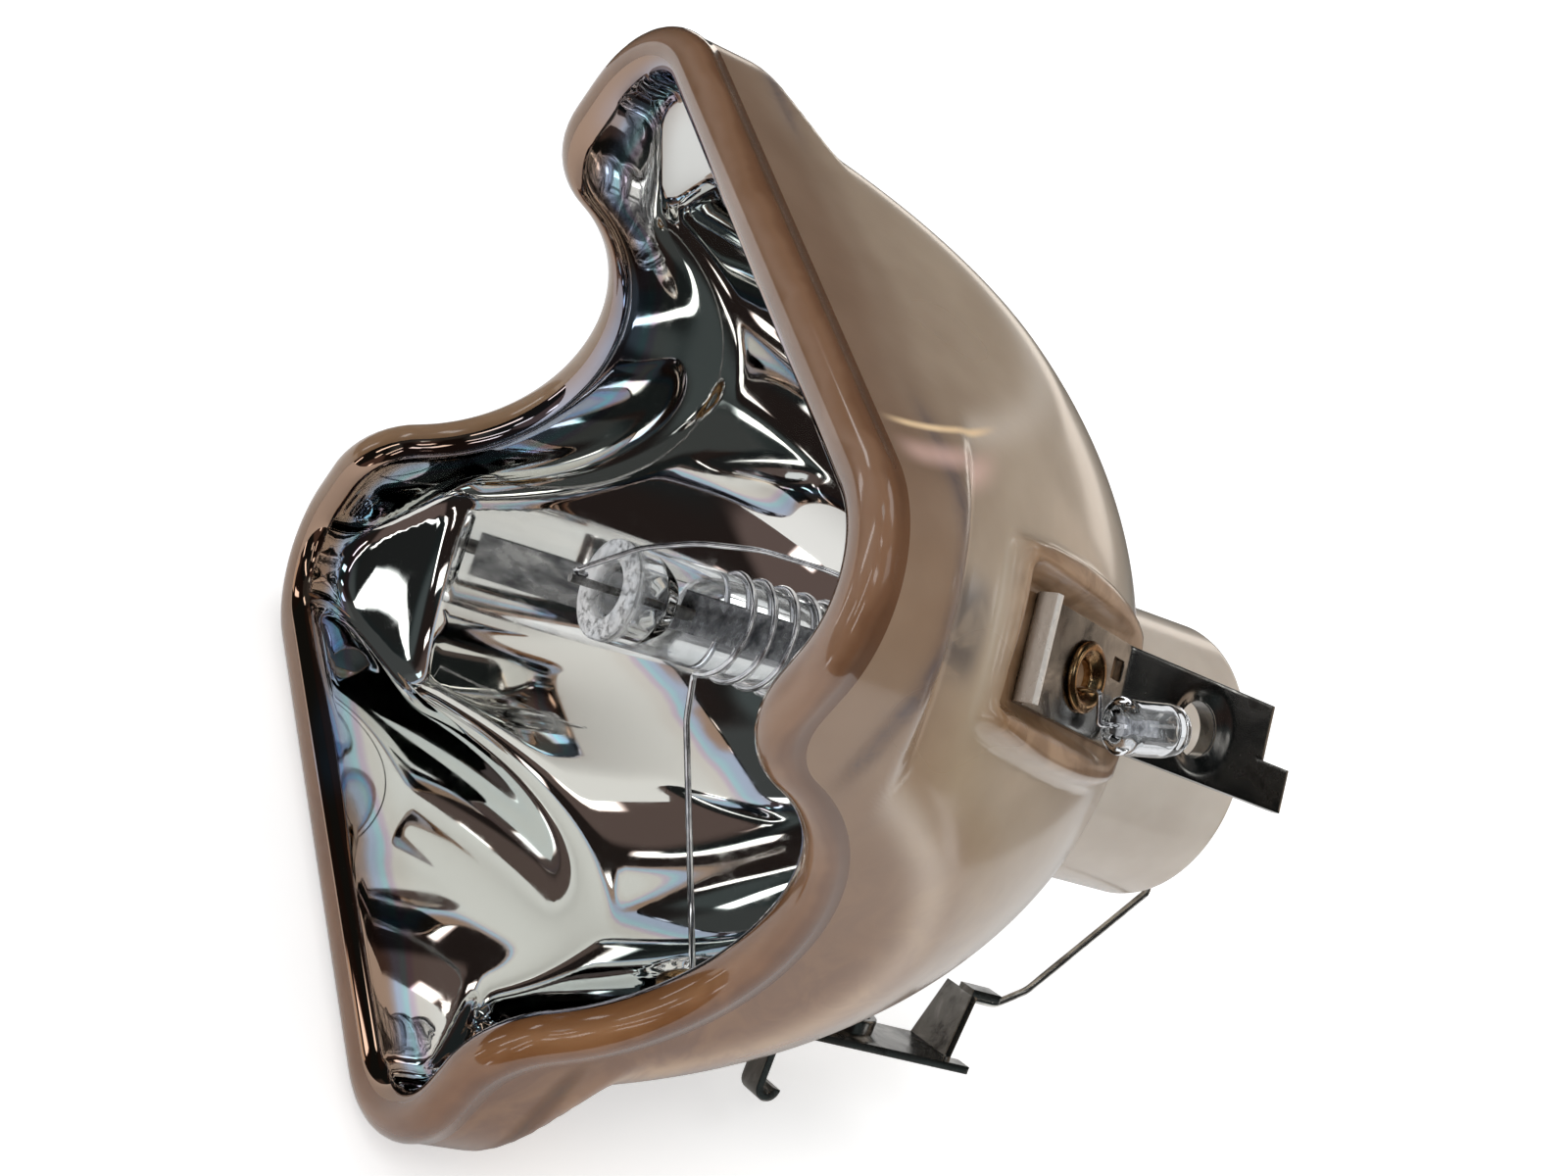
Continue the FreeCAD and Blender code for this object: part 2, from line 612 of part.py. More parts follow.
def make_strip(site):
    """The stamping of one terminal, with its flange on one side of the notch and its tab on the other."""
    lip_foot = seat_point(-LIP_REACH)
    lean = radians(LIP_LEAN)
    lip_top = lip_foot + (SEAT_NORMAL * cos(lean) - SEAT_ALONG * sin(lean)) * LIP_HEIGHT
    front = [lip_top, lip_foot, BEND_MIDDLE]
    flange_sides = sorted((site.hand * site.notch, site.hand * STRIP_HALF_WIDTH))
    tab_sides = sorted((site.hand * site.notch, -site.hand * STRIP_HALF_WIDTH))
    flanged = folded_strip(front + [site.arm_point(site.arm_end), site.flange_top], *flange_sides)
    tabbed = folded_strip(front + [site.arm_point(site.tab_end)], *tab_sides)
    collar_end = site.arm_point(SCREW_REACH, 0, -SHEET - COLLAR_DEPTH)
    collar = rod(site.arm_point(SCREW_REACH, 0, -SHEET / 2), collar_end, SCREW_HOLE_RADIUS + COLLAR_WALL)
    strip = flanged.fuse([tabbed, collar])
    screw_hole = rod(site.arm_point(SCREW_REACH, 0, 1), site.arm_point(SCREW_REACH, 0, -WALL), SCREW_HOLE_RADIUS)
    eyelet_hole = rod(seat_point(0, 0, 1), seat_point(0, 0, -1), EYELET_RADIUS)
    half = WINDOW_SIDE / 2
    window = slab(half, WINDOW_REACH - half, WINDOW_REACH + half, -WALL, WALL)
    window.translate(ACROSS * site.hand * WINDOW_ACROSS)
    return strip.cut([screw_hole, eyelet_hole, window, flange_trim(site)]).removeSplitter()


def flange_trim(site):
    """Wedge that narrows the flange from the notch side toward its top."""
    root = site.arm_point(site.arm_end, site.hand * site.notch) - site.arm_normal * (2 * SHEET)
    rise = site.flange_top - site.arm_point(site.arm_end)
    top = root + rise * 1.2
    wedge = [root, top, top + ACROSS * (site.hand * FLANGE_TAPER)]
    face = Part.Face(Part.makePolygon(wedge + wedge[:1]))
    face.translate(site.arm_along * -WALL)
    return face.extrude(site.arm_along * (2 * WALL))


def make_hook(site):
    """Narrow tongue lanced out of the arm, with its tip curled to the rear."""
    foot = site.arm_point(HOOK_REACH, 0, -SHEET)
    crown = site.arm_point(HOOK_REACH, 0, HOOK_HEIGHT - HOOK_CURL_RADIUS)
    rear = crown + site.arm_along * (2 * HOOK_CURL_RADIUS)
    over = crown + (site.arm_along + site.arm_normal) * HOOK_CURL_RADIUS
    path = [Part.makeLine(foot, crown), Part.Arc(crown, over, rear).toShape()]
    thick = site.arm_along * (SHEET / 2)
    wide = ACROSS * HOOK_HALF_WIDTH
    corners = [foot - thick - wide, foot + thick - wide, foot + thick + wide, foot - thick + wide]
    return Part.Wire(path).makePipeShell([Part.makePolygon(corners + corners[:1])], True, False)


def ear_point(along, out=0.0):
    """Point over the middle line of the lower terminal's ear, from the top of the flange."""
    shift = LOWER.hand * (LOWER.notch + FLANGE_TAPER + EAR_WIDTH / 2)
    return LOWER.flange_top + LOWER.arm_along * along + ACROSS * shift + LOWER.arm_normal * out


def make_ear():
    """Ear at the top of the flange, folded to the rear, for the rear lead wire."""
    return folded_strip([ear_point(-SHEET), ear_point(EAR_LENGTH)], -EAR_WIDTH / 2, EAR_WIDTH / 2)


def on_capsule(item):
    """Unplaced solid or point, turned about the axis from depth 0, on the capsule's own axis."""
    place = FreeCAD.Placement(CAPSULE_FRONT, FreeCAD.Rotation(AXIS, CAPSULE_REAR - CAPSULE_FRONT))
    if isinstance(item, Vec):
        return place.multVec(item)
    moved = item.copy()
    moved.Placement = place.multiply(moved.Placement)
    return moved


CAPSULE_REAR = SIDE.arm_point(CAPSULE_REAR_REACH, CAPSULE_SHIFT_REAR, CAPSULE_RADIUS)
CAPSULE_FRONT_REACH = CAPSULE_REAR_REACH - CAPSULE_LENGTH - PINCH_LENGTH
CAPSULE_FRONT_HEIGHT = CAPSULE_RADIUS + CAPSULE_FRONT_LIFT
CAPSULE_FRONT = SIDE.arm_point(CAPSULE_FRONT_REACH, CAPSULE_SHIFT_FRONT, CAPSULE_FRONT_HEIGHT)


def round_ended(radius, start, end):
    """Cylinder about the axis with well rounded ends."""
    body = rod(AXIS * start, AXIS * end, radius)
    return body.makeFillet(radius * 0.5, [edge for edge in body.Edges if edge.Closed])


def make_capsule_foil():
    """Foil half in the pinch and half in the fill of the capsule."""
    foil = Part.makeBox(CAPSULE_FOIL_WIDTH, CAPSULE_FOIL_LENGTH, CAPSULE_FOIL_THICKNESS)
    foil.translate(Vec(-CAPSULE_FOIL_WIDTH / 2, PINCH_LENGTH / 3, -CAPSULE_FOIL_THICKNESS))
    return on_capsule(foil)


def make_capsule_lead():
    """Lead from the foil in the pinch of the capsule into the bore of the side eyelet."""
    level = Vec(0, 0, CAPSULE_WIRE_RADIUS)
    inner = on_capsule(level + AXIS * (PINCH_LENGTH * 0.8))
    outer = on_capsule(level - AXIS * CAPSULE_WIRE_STUB)
    shift = EYELET_RADIUS - EYELET_WALL - CAPSULE_WIRE_RADIUS
    over = seat_point(0, shift, FLANGE_THICKNESS + CAPSULE_WIRE_RISE)
    inside = seat_point(0, shift, -WIRE_INSET)
    return bent_wire([inner, outer, over, inside], CAPSULE_WIRE_RADIUS, 2 * CAPSULE_WIRE_RADIUS)


def make_capsule(inserts):
    """Glass capsule with its pinch, closed round the foil and the end of its lead."""
    end = PINCH_LENGTH + CAPSULE_LENGTH
    glass_wall = CAPSULE_RADIUS - CAPSULE_BORE
    pinch = rod(ORIGIN, AXIS * (PINCH_LENGTH + glass_wall), PINCH_RADIUS)
    glass = round_ended(CAPSULE_RADIUS, PINCH_LENGTH, end).fuse(pinch)
    hollow = round_ended(CAPSULE_BORE, PINCH_LENGTH + glass_wall, end - glass_wall)
    return on_capsule(glass.cut(hollow)).cut(inserts)


def clear_of_stem(point):
    """Point of the front wire, moved out from the axis until the wire clears the stem."""
    outward = Vec(point.x, 0, point.z)
    least = STEM_RADIUS + FRONT_WIRE_RADIUS + FRONT_WIRE_CLEARANCE
    if point.y < STEM_FRONT - FRONT_WIRE_CLEARANCE or outward.Length > least:
        return point
    return AXIS * point.y + outward.normalize() * least


def make_front_lead_wire():
    """Wire from the front pin, arched clear of the stem, into the side eyelet."""
    lift = Vec(-1, 0, 1).normalize()
    beside = lift * (ROD_RADIUS + FRONT_WIRE_RADIUS)
    start = AXIS * (PIN_FRONT + FRONT_WIRE_LAP) + beside
    bent = AXIS * (PIN_FRONT + FRONT_WIRE_SETBACK) + beside
    shift = EYELET_RADIUS - EYELET_WALL - FRONT_WIRE_RADIUS
    mouth, inside = [SIDE.put(point) for point in eyelet_entry(shift)]
    chord = mouth - bent
    over = (STEM_FRONT + FRONT_WIRE_OVER - bent.y) / chord.y
    arch = []
    for part in (0.0, 0.14, 0.302, 0.488, 0.721):
        share = over + (1 - over) * part
        rise = sin(pi * share**0.8)
        point = bent + chord * share + lift * (FRONT_WIRE_ARCH_SHARE * chord.Length * rise)
        arch.append(clear_of_stem(point))
    return bent_wire([start, bent] + arch + [mouth, inside], FRONT_WIRE_RADIUS, 2.5 * FRONT_WIRE_RADIUS)


def make_rear_lead_wire():
    """Wire from the rear pin, out behind the neck and forward onto the ear."""
    sideways = LOWER.round_axis.multVec(-ACROSS)
    beside = sideways * (ROD_RADIUS + REAR_WIRE_RADIUS + TOUCH)
    rear = AXIS * (PIN_REAR - REAR_WIRE_RADIUS)
    start = rear + beside - LOWER.radial * (2 * ROD_RADIUS)
    leave = rear + beside + LOWER.radial * STEM_RADIUS
    turn = rear + sideways * REAR_WIRE_TURN_SHIFT + LOWER.radial * REAR_WIRE_TURN_RADIUS
    knee = LOWER.put(ear_point(EAR_LENGTH + REAR_WIRE_KNEE, REAR_WIRE_RADIUS - REAR_WIRE_KNEE_RISE))
    rest = LOWER.put(ear_point(EAR_LENGTH + REAR_WIRE_RADIUS, REAR_WIRE_RADIUS + TOUCH))
    tail = LOWER.put(ear_point(EAR_LENGTH * 0.2, REAR_WIRE_RADIUS + TOUCH))
    return bent_wire([start, leave, turn, knee, rest, tail], REAR_WIRE_RADIUS, REAR_WIRE_BEND / 2)


nodes = {}
sealed = []
for side, end_name in ((-1, "front"), (1, "rear")):
    for kind, maker in (("foil", make_foil), ("electrode", make_electrode), ("lead_pin", make_pin)):
        piece = maker(side)
        nodes[end_name + "_" + kind] = piece
        sealed.append(piece)

capsule_foil = make_capsule_foil()
capsule_lead = make_capsule_lead()
lower_strip = make_strip(LOWER).fuse([make_hook(LOWER), make_ear()]).removeSplitter()

nodes["reflector"] = make_reflector()
nodes["quartz_burner"] = make_burner(sealed)
nodes["mercury_dose"] = make_mercury()
nodes["neck_cement"] = make_cement()
nodes["antenna_wire"] = make_antenna_wire()
nodes["front_lead_wire"] = make_front_lead_wire()
nodes["rear_lead_wire"] = make_rear_lead_wire()
nodes["side_terminal"] = SIDE.put(make_strip(SIDE))
nodes["lower_terminal"] = LOWER.put(lower_strip)
nodes["side_eyelet"] = SIDE.put(make_eyelet())
nodes["lower_eyelet"] = LOWER.put(make_eyelet())
nodes["capsule_foil"] = SIDE.put(capsule_foil)
nodes["capsule_lead"] = SIDE.put(capsule_lead)
nodes["starter_capsule"] = SIDE.put(make_capsule([capsule_foil, capsule_lead]))

for name, node in nodes.items():
    node.exportStep("parts/" + name + ".step")
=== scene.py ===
"""Looks of the projector lamp: glass reflector, quartz burner, wires, terminals and capsule."""

import logging
from dataclasses import dataclass, field
from enum import Enum

import bpy
import numpy as np
from mathutils import Matrix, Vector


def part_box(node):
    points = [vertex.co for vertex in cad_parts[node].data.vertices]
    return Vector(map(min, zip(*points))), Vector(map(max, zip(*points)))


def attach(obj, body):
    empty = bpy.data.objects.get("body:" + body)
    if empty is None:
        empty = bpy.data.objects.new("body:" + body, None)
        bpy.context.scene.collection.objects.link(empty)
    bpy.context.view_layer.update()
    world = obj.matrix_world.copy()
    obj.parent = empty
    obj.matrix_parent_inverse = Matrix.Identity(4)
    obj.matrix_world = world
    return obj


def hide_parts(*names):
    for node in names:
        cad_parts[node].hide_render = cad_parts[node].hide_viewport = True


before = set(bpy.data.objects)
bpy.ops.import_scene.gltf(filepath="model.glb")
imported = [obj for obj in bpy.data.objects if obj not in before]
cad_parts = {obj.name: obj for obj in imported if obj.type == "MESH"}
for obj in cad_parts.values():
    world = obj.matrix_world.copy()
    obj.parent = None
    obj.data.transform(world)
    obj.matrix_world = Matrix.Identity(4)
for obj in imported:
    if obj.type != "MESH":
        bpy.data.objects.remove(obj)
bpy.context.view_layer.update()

logging.basicConfig(level=logging.INFO, format="%(message)s")
LOG = logging.getLogger("lamp")

Array = np.ndarray
Socket = bpy.types.NodeSocket
Material = bpy.types.Material

MM = 0.001
WELD = 2e-4
X_AXIS = np.array([1.0, 0.0, 0.0])
Y_AXIS = np.array([0.0, 1.0, 0.0])
Z_AXIS = np.array([0.0, 0.0, 1.0])


# Small shared mathematics


def unit(vectors: Array) -> Array:
    """Vectors divided by their own length, along the last axis."""
    return vectors / np.linalg.norm(vectors, axis=-1, keepdims=True)


def smooth_step(values: Array, start: float, end: float) -> Array:
    """Cubic rise 3t^2 - 2t^3 from 0 at start to 1 at end.

    Args:
        values: Where the step is read.
        start: Value at which it begins to rise.
        end: Value at which it has risen.

    Returns:
        The step at each value.
    """
    share = np.clip((values - start) / (end - start), 0.0, 1.0)
    return share * share * (3.0 - 2.0 * share)


def soft_min(first: Array, second: Array, blend: float) -> Array:
    """Lesser of two fields, rounded where they cross.

    The lesser value less h^2 * blend / 4, with h = max(blend - |difference|, 0) / blend.

    Args:
        first: One field.
        second: The other field.
        blend: Difference below which the two melt together.

    Returns:
        The rounded minimum.
    """
    overlap = np.maximum(blend - np.abs(first - second), 0.0) / blend
    return np.minimum(first, second) - overlap * overlap * blend / 4.0


def soft_max(first: Array, second: Array, blend: float) -> Array:
    """Greater of two fields, filled in where they cross."""
    return -soft_min(-first, -second, blend)


def rotation(axis: Array, degrees: float) -> Array:
    """Matrix of a right-handed turn about an axis.

    Args:
        axis: Direction of the axis.
        degrees: Angle of the turn.

    Returns:
        The 3 by 3 matrix, by Rodrigues' formula.
    """
    x, y, z = axis / np.linalg.norm(axis)
    angle = np.radians(degrees)
    cross = np.array([[0.0, -z, y], [z, 0.0, -x], [-y, x, 0.0]])
    return np.eye(3) + np.sin(angle) * cross + (1.0 - np.cos(angle)) * cross @ cross


def about_axis(radius: Array, angle: Array, depth: Array) -> Array:
    """Points (r sin a, y, r cos a) about the optical axis.

    Args:
        radius: Distances r from the axis.
        angle: Angles a from +Z toward +X.
        depth: Depths y behind the rim plane.

    Returns:
        The points, in the shape that the three broadcast to.
    """
    return np.stack(np.broadcast_arrays(radius * np.sin(angle), depth, radius * np.cos(angle)), axis=-1)


def rounded_path(corners: Array, bend: float, rounds: int = 4) -> Array:
    """Line through corners with each corner worn round.

    Two points are set at a distance of one bend from every inner corner, and then the
    corners are cut again and again at a quarter and three quarters of each run.

    Args:
        corners: The points of the line, one row each.
        bend: How far from a corner its bend begins.
        rounds: How often the corners are cut.

    Returns:
        The points of the smooth line.
    """
    into = unit(corners[1:-1] - corners[:-2])
    out = unit(corners[2:] - corners[1:-1])
    room = np.minimum(
        np.linalg.norm(corners[1:-1] - corners[:-2], axis=1),
        np.linalg.norm(corners[2:] - corners[1:-1], axis=1),
    )
    reach = np.minimum(bend, room * 0.45)[:, None]
    triples = np.stack([corners[1:-1] - into * reach, corners[1:-1], corners[1:-1] + out * reach], axis=1)
    line = np.concatenate([corners[:1], triples.reshape(-1, 3), corners[-1:]])
    for _ in range(rounds):
        near = line[:-1] * 0.75 + line[1:] * 0.25
        far = line[:-1] * 0.25 + line[1:] * 0.75
        cut = np.stack([near, far], axis=1).reshape(-1, 3)
        line = np.concatenate([line[:1], cut, line[-1:]])
    return line


def resampled(line: Array, step: float) -> Array:
    """Points at an even spacing along a line.

    Args:
        line: The points of the line.
        step: Wanted spacing.

    Returns:
        The evenly spaced points, with both ends kept.
    """
    runs = np.linalg.norm(np.diff(line, axis=0), axis=1)
    keep = np.concatenate([[True], runs > 1e-9])
    line = line[keep]
    along = np.concatenate([[0.0], np.cumsum(np.linalg.norm(np.diff(line, axis=0), axis=1))])
    marks = np.linspace(0.0, along[-1], max(int(along[-1] / step), 2) + 1)
    return np.stack([np.interp(marks, along, line[:, axis]) for axis in range(3)], axis=1)


# Meshes from grids


@dataclass
class Patch:
    """One grid of points in millimetres, and how its two directions close.

    Attributes:
        points: Grid of points, rows by columns by 3.
        wrap_rows: The last row joins the first.
        wrap_columns: The last column joins the first.
        finish: Index of the material that its faces take, one number or one for each row.
        dropped: Mask of the cells left out, or None.
        hollow: The patch is the wall of a closed hollow, so its faces look into it.
        marks: Named values at each point, which a material can read.
    """

    points: Array
    wrap_rows: bool = False
    wrap_columns: bool = False
    finish: Array | int = 0
    dropped: Array | None = None
    hollow: bool = False
    marks: dict[str, Array] = field(default_factory=dict)

    def quads(self) -> tuple[Array, Array]:
        """Corner indices of every cell, and the material index of each.

        Returns:
            The corner indices and the material indices.
        """
        rows, columns = self.points.shape[:2]
        row = np.arange(rows if self.wrap_rows else rows - 1)[:, None]
        column = np.arange(columns if self.wrap_columns else columns - 1)[None, :]
        next_row, next_column = (row + 1) % rows, (column + 1) % columns
        corners = [
            row * columns + column,
            row * columns + next_column,
            next_row * columns + next_column,
            next_row * columns + column,
        ]
        cells = np.stack(np.broadcast_arrays(*corners), axis=-1)
        finish = np.broadcast_to(np.reshape(self.finish, (-1, 1)), cells.shape[:2])
        if self.dropped is not None:
            return cells[~self.dropped], finish[~self.dropped]
        return cells.reshape(-1, 4), finish.reshape(-1)


@dataclass
class Piece:
    """A mesh object put together from patches."""

    name: str
    patches: list[Patch] = field(default_factory=list)

    def add(self, patch: Patch) -> None:
        """Take one more patch into the piece."""
        self.patches.append(patch)

    def build(self, materials: list[Material], replaced: str, slot: str,
              closed: bool = True) -> bpy.types.Object:
        """Weld the patches into one mesh, dress it and put it in place of its CAD node.

        Points closer than WELD, in millimetres, become one, so poles and seams close, and
        a cell that loses a corner by it becomes a triangle.

        Args:
            materials: The finishes, in the order of the patches' material indices.
            replaced: CAD node that the piece stands for.
            slot: Material slot of the record; not used.
            closed: The piece is a closed shell, whose faces are turned outward here.

        Returns:
            The finished object.
        """
        points, faces, finishes, marks = [], [], [], {}
        names = {name for patch in self.patches for name in patch.marks}
        start = 0
        for patch in self.patches:
            cells, finish = patch.quads()
            size = patch.points.shape[0] * patch.points.shape[1]
            coordinates = patch.points.reshape(-1, 3)
            if closed and (shell_volume(coordinates, cells) < 0.0) != patch.hollow:
                cells = cells[:, ::-1]
            points.append(coordinates)
            faces.append(cells + start)
            finishes.append(finish)
            for name in names:
                value = np.broadcast_to(patch.marks.get(name, 0.0), patch.points.shape[:2])
                marks.setdefault(name, []).append(value.reshape(-1))
            start += size
        points = np.concatenate(points)
        keys = np.round(points / WELD).astype(np.int64)
        _, first, inverse = np.unique(keys, axis=0, return_index=True, return_inverse=True)
        quads = inverse.reshape(-1)[np.concatenate(faces)]
        finishes = np.concatenate(finishes)
        kept = quads != np.roll(quads, -1, axis=1)
        whole = kept.sum(axis=1) > 2
        quads, kept, finishes = quads[whole], kept[whole], finishes[whole]
        totals = kept.sum(axis=1)
        loops = quads[kept]
        mesh = bpy.data.meshes.new(self.name)
        mesh.vertices.add(len(first))
        mesh.vertices.foreach_set("co", (points[first] * MM).astype(np.float32).reshape(-1))
        mesh.loops.add(len(loops))
        mesh.loops.foreach_set("vertex_index", loops.astype(np.int32))
        mesh.polygons.add(len(totals))
        mesh.polygons.foreach_set("loop_start", (np.cumsum(totals) - totals).astype(np.int32))
        mesh.polygons.foreach_set("loop_total", totals.astype(np.int32))
        mesh.polygons.foreach_set("material_index", finishes.astype(np.int32))
        mesh.polygons.foreach_set("use_smooth", np.ones(len(totals), dtype=bool))
        for name, parts in marks.items():
            values = np.concatenate(parts)[first]
            mesh.attributes.new(name, "FLOAT", "POINT").data.foreach_set("value", values.astype(np.float32))
        mesh.update(calc_edges=True)
        mesh.validate()
        piece = bpy.data.objects.new(self.name, mesh)
        bpy.context.scene.collection.objects.link(piece)
        for material in materials:
            mesh.materials.append(material)
        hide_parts(replaced)
        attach(piece, "root")
        LOG.info("%s: %d points, %d faces", self.name, len(first), len(totals))
        return piece


def shell_volume(points: Array, cells: Array) -> float:
    """Signed volume inside a shell, as the sum of its cells' tetrahedra from the origin.

    Args:
        points: Points of the shell.
        cells: Corner indices of its cells.

    Returns:
        The volume, which is negative where the faces look inward.
    """
    a, b, c, d = (points[cells[:, corner]] for corner in range(4))
    volume = np.einsum("ij,ij->i", a, np.cross(b, c)) + np.einsum("ij,ij->i", a, np.cross(c, d))
    return float(volume.sum()) / 6.0


def lathe(profile: Array, columns: int) -> Patch:
    """Surface turned about +Y: each profile point (r, y) goes round as (r sin a, y, r cos a).

    Args:
        profile: Radius and depth of each row.
        columns: Number of points round the axis.

    Returns:
        The closed patch.
    """
    angle = np.linspace(0.0, 2.0 * np.pi, columns, endpoint=False)[None, :]
    return Patch(about_axis(profile[:, 0:1], angle, profile[:, 1:2]), wrap_columns=True)


def soft_profile(corners: list[tuple[float, float]], bend: float, step: float = 0.12) -> Array:
    """Profile of radius and depth through corners, with each corner rounded.

    Args:
        corners: Radius and depth of the corners.
        bend: How far from a corner its rounding begins.
        step: Spacing of the points.

    Returns:
        The points of the profile.
    """
    flat = np.array([[radius, depth, 0.0] for radius, depth in corners])
    return resampled(rounded_path(flat, bend, 3), step)[:, :2]


def wire(line: Array, radius: float, sides: int = 12) -> Patch:
    """Round wire: a circle carried along a line, square to it, and closed at both ends.

    The circle's first direction is the line's tangent crossed with a fixed direction that
    the line never follows, so the section doesn't twist.

    Args:
        line: Centre line.
        radius: Radius of the wire.
        sides: Number of points round the wire.

    Returns:
        The closed patch.
    """
    tangent = unit(np.gradient(line, axis=0))
    ways = np.stack([X_AXIS, Y_AXIS, Z_AXIS, unit(np.array([1.0, 0.35, -0.6]))])
    fixed = ways[int(np.argmin(np.abs(tangent @ ways.T).max(axis=0)))]
    side = unit(np.cross(tangent, fixed))
    over = np.cross(side, tangent)
    angle = np.linspace(0.0, 2.0 * np.pi, sides, endpoint=False)[None, :, None]
    ring = radius * (np.cos(angle) * side[:, None] + np.sin(angle) * over[:, None])
    caps = [(line[at] + size * ring[at] + shift * radius * tangent[at])[None]
            for at, size, shift in ((0, 0.0, -0.5), (0, 0.7, -0.35), (-1, 0.7, 0.35), (-1, 0.0, 0.5))]
    return Patch(np.concatenate([*caps[:2], line[:, None] + ring, *caps[2:]]), wrap_columns=True)


# Node materials


class Graph:
    """One material's node tree, with short ways to add nodes and link them."""

    def __init__(self, name: str) -> None:
        """Start an empty material with a Principled shader.

        Args:
            name: Name of the material.
        """
        self.material = bpy.data.materials.new(name)
        self.material.use_nodes = True
        self.tree = self.material.node_tree
        self.shader = self.tree.nodes["Principled BSDF"]
        self.place = self.tree.nodes.new("ShaderNodeTexCoord").outputs["Object"]

    def set(self, **values: object) -> "Graph":
        """Set sockets of the shader, with underscores for the spaces in their names.

        Args:
            values: Values by socket name.

        Returns:
            The graph itself.
        """
        for name, value in values.items():
            self.shader.inputs[name.replace("_", " ")].default_value = value
        return self

    def link(self, source: Socket, target: str) -> "Graph":
        """Link a socket to one of the shader's inputs."""
        self.tree.links.new(source, self.shader.inputs[target])
        return self

    def join(self, value: object, socket: Socket) -> None:
        """Feed a node's socket from another socket, or set its value.

        Args:
            value: Socket or plain value.
            socket: Input that takes it.
        """
        if isinstance(value, Socket):
            self.tree.links.new(value, socket)
        else:
            socket.default_value = value

    def node(self, kind: str, **inputs: object) -> bpy.types.Node:
        """New node with some of its inputs fed.

        Args:
            kind: Type of the node, without its ShaderNode prefix.
            inputs: Sockets or values by input name, with underscores for the spaces.

        Returns:
            The node.
        """
        node = self.tree.nodes.new("ShaderNode" + kind)
        for name, value in inputs.items():
            self.join(value, node.inputs[name.replace("_", " ")])
        return node

    def noise(self, scale: float, detail: float = 3.0, rough: float = 0.55, stretch: tuple = (1, 1, 1),
              twist: float = 0.0) -> Socket:
        """Fractal noise on the Object coordinates.

        Args:
            scale: Number of features in a metre.
            detail: Number of finer layers.
            rough: Strength of the finer layers.
            stretch: Scale along each axis, for a grain.
            twist: Distortion of the pattern.

        Returns:
            The noise, about 0.5.
        """
        place = self.node("Mapping", Scale=stretch, Vector=self.place).outputs["Vector"]
        node = self.node("TexNoise", Vector=place, Scale=scale, Detail=detail, Roughness=rough, Distortion=twist)
        return node.outputs["Fac"]

    def cells(self, scale: float) -> Socket:
        """Distance to the nearest of scattered points, for grit and pits."""
        return self.node("TexVoronoi", Vector=self.place, Scale=scale).outputs["Distance"]

    def mark(self, name: str) -> Socket:
        """One of the piece's own marks.

        Args:
            name: Name of the mark.

        Returns:
            Its value.
        """
        node = self.node("Attribute")
        node.attribute_name = name
        return node.outputs["Fac"]

    def axis(self, index: int) -> Socket:
        """One Object coordinate, 0 to 2 for x to z, in metres."""
        return self.node("SeparateXYZ", Vector=self.place).outputs[index]

    def facing(self, blend: float = 0.4) -> Socket:
        """How far the surface turns away from the eye."""
        return self.node("LayerWeight", Blend=blend).outputs["Facing"]

    def maths(self, operation: str, first: object, second: object = 0.0) -> Socket:
        """Result of one operation on two values or sockets.

        Args:
            operation: The operation.
            first: Value or socket.
            second: Value or socket.

        Returns:
            The result.
        """
        node = self.node("Math")
        node.operation = operation
        self.join(first, node.inputs[0])
        self.join(second, node.inputs[1])
        return node.outputs[0]

    def times(self, first: object, second: object) -> Socket:
        """Product of two values or sockets."""
        return self.maths("MULTIPLY", first, second)

    def plus(self, first: object, second: object) -> Socket:
        """Sum of two values or sockets."""
        return self.maths("ADD", first, second)

    def less(self, first: object, second: object) -> Socket:
        """First value or socket less the second."""
        return self.maths("SUBTRACT", first, second)

    def apart(self, first: object, second: object) -> Socket:
        """How far two values or sockets lie apart, without a sign."""
        return self.maths("ABSOLUTE", self.less(first, second))

    def span(self, value: Socket, low: float, high: float, start: float = 0.0, end: float = 1.0) -> Socket:
        """Value carried from one range to another in an S-shaped rise, and held at its ends.

        Args:
            value: The value.
            low: Value that becomes start.
            high: Value that becomes end.
            start: Result at low.
            end: Result at high.

        Returns:
            The carried value.
        """
        node = self.node("MapRange", Value=value)
        node.interpolation_type = "SMOOTHSTEP"
        for socket, number in zip(node.inputs[1:5], (low, high, start, end)):
            socket.default_value = number
        return node.outputs[0]

    def ramp(self, value: Socket, stops: list[tuple[float, tuple]]) -> Socket:
        """Colours along a value.

        Args:
            value: The value, from 0 to 1.
            stops: Position and sRGB colour, 0 to 255, of each stop.

        Returns:
            The colour.
        """
        node = self.node("ValToRGB", Fac=value)
        node.color_ramp.interpolation = "EASE"
        elements = node.color_ramp.elements
        while len(elements) < len(stops):
            elements.new(0.5)
        for element, (position, colour) in zip(elements, stops):
            element.position = position
            element.color = linear(colour)
        return node.outputs["Color"]

    def mix(self, share: object, first: object, second: object, way: str = "MIX") -> Socket:
        """Two colours mixed by a share, on the Mix node's colour sockets.

        Args:
            share: Share of the second colour.
            first: Socket or linear colour.
            second: Socket or linear colour.
            way: Blend type.

        Returns:
            The mixed colour.
        """
        node = self.node("Mix")
        node.data_type = "RGBA"
        node.blend_type = way
        for value, index in ((share, 0), (first, 6), (second, 7)):
            self.join(value, node.inputs[index])
        return node.outputs[2]

    def tinted(self, share: object, colour: Socket, hue: object) -> Socket:
        """Colour multiplied by a hue, as far as a share says."""
        return self.mix(share, colour, self.mix(1.0, colour, hue, "MULTIPLY"))

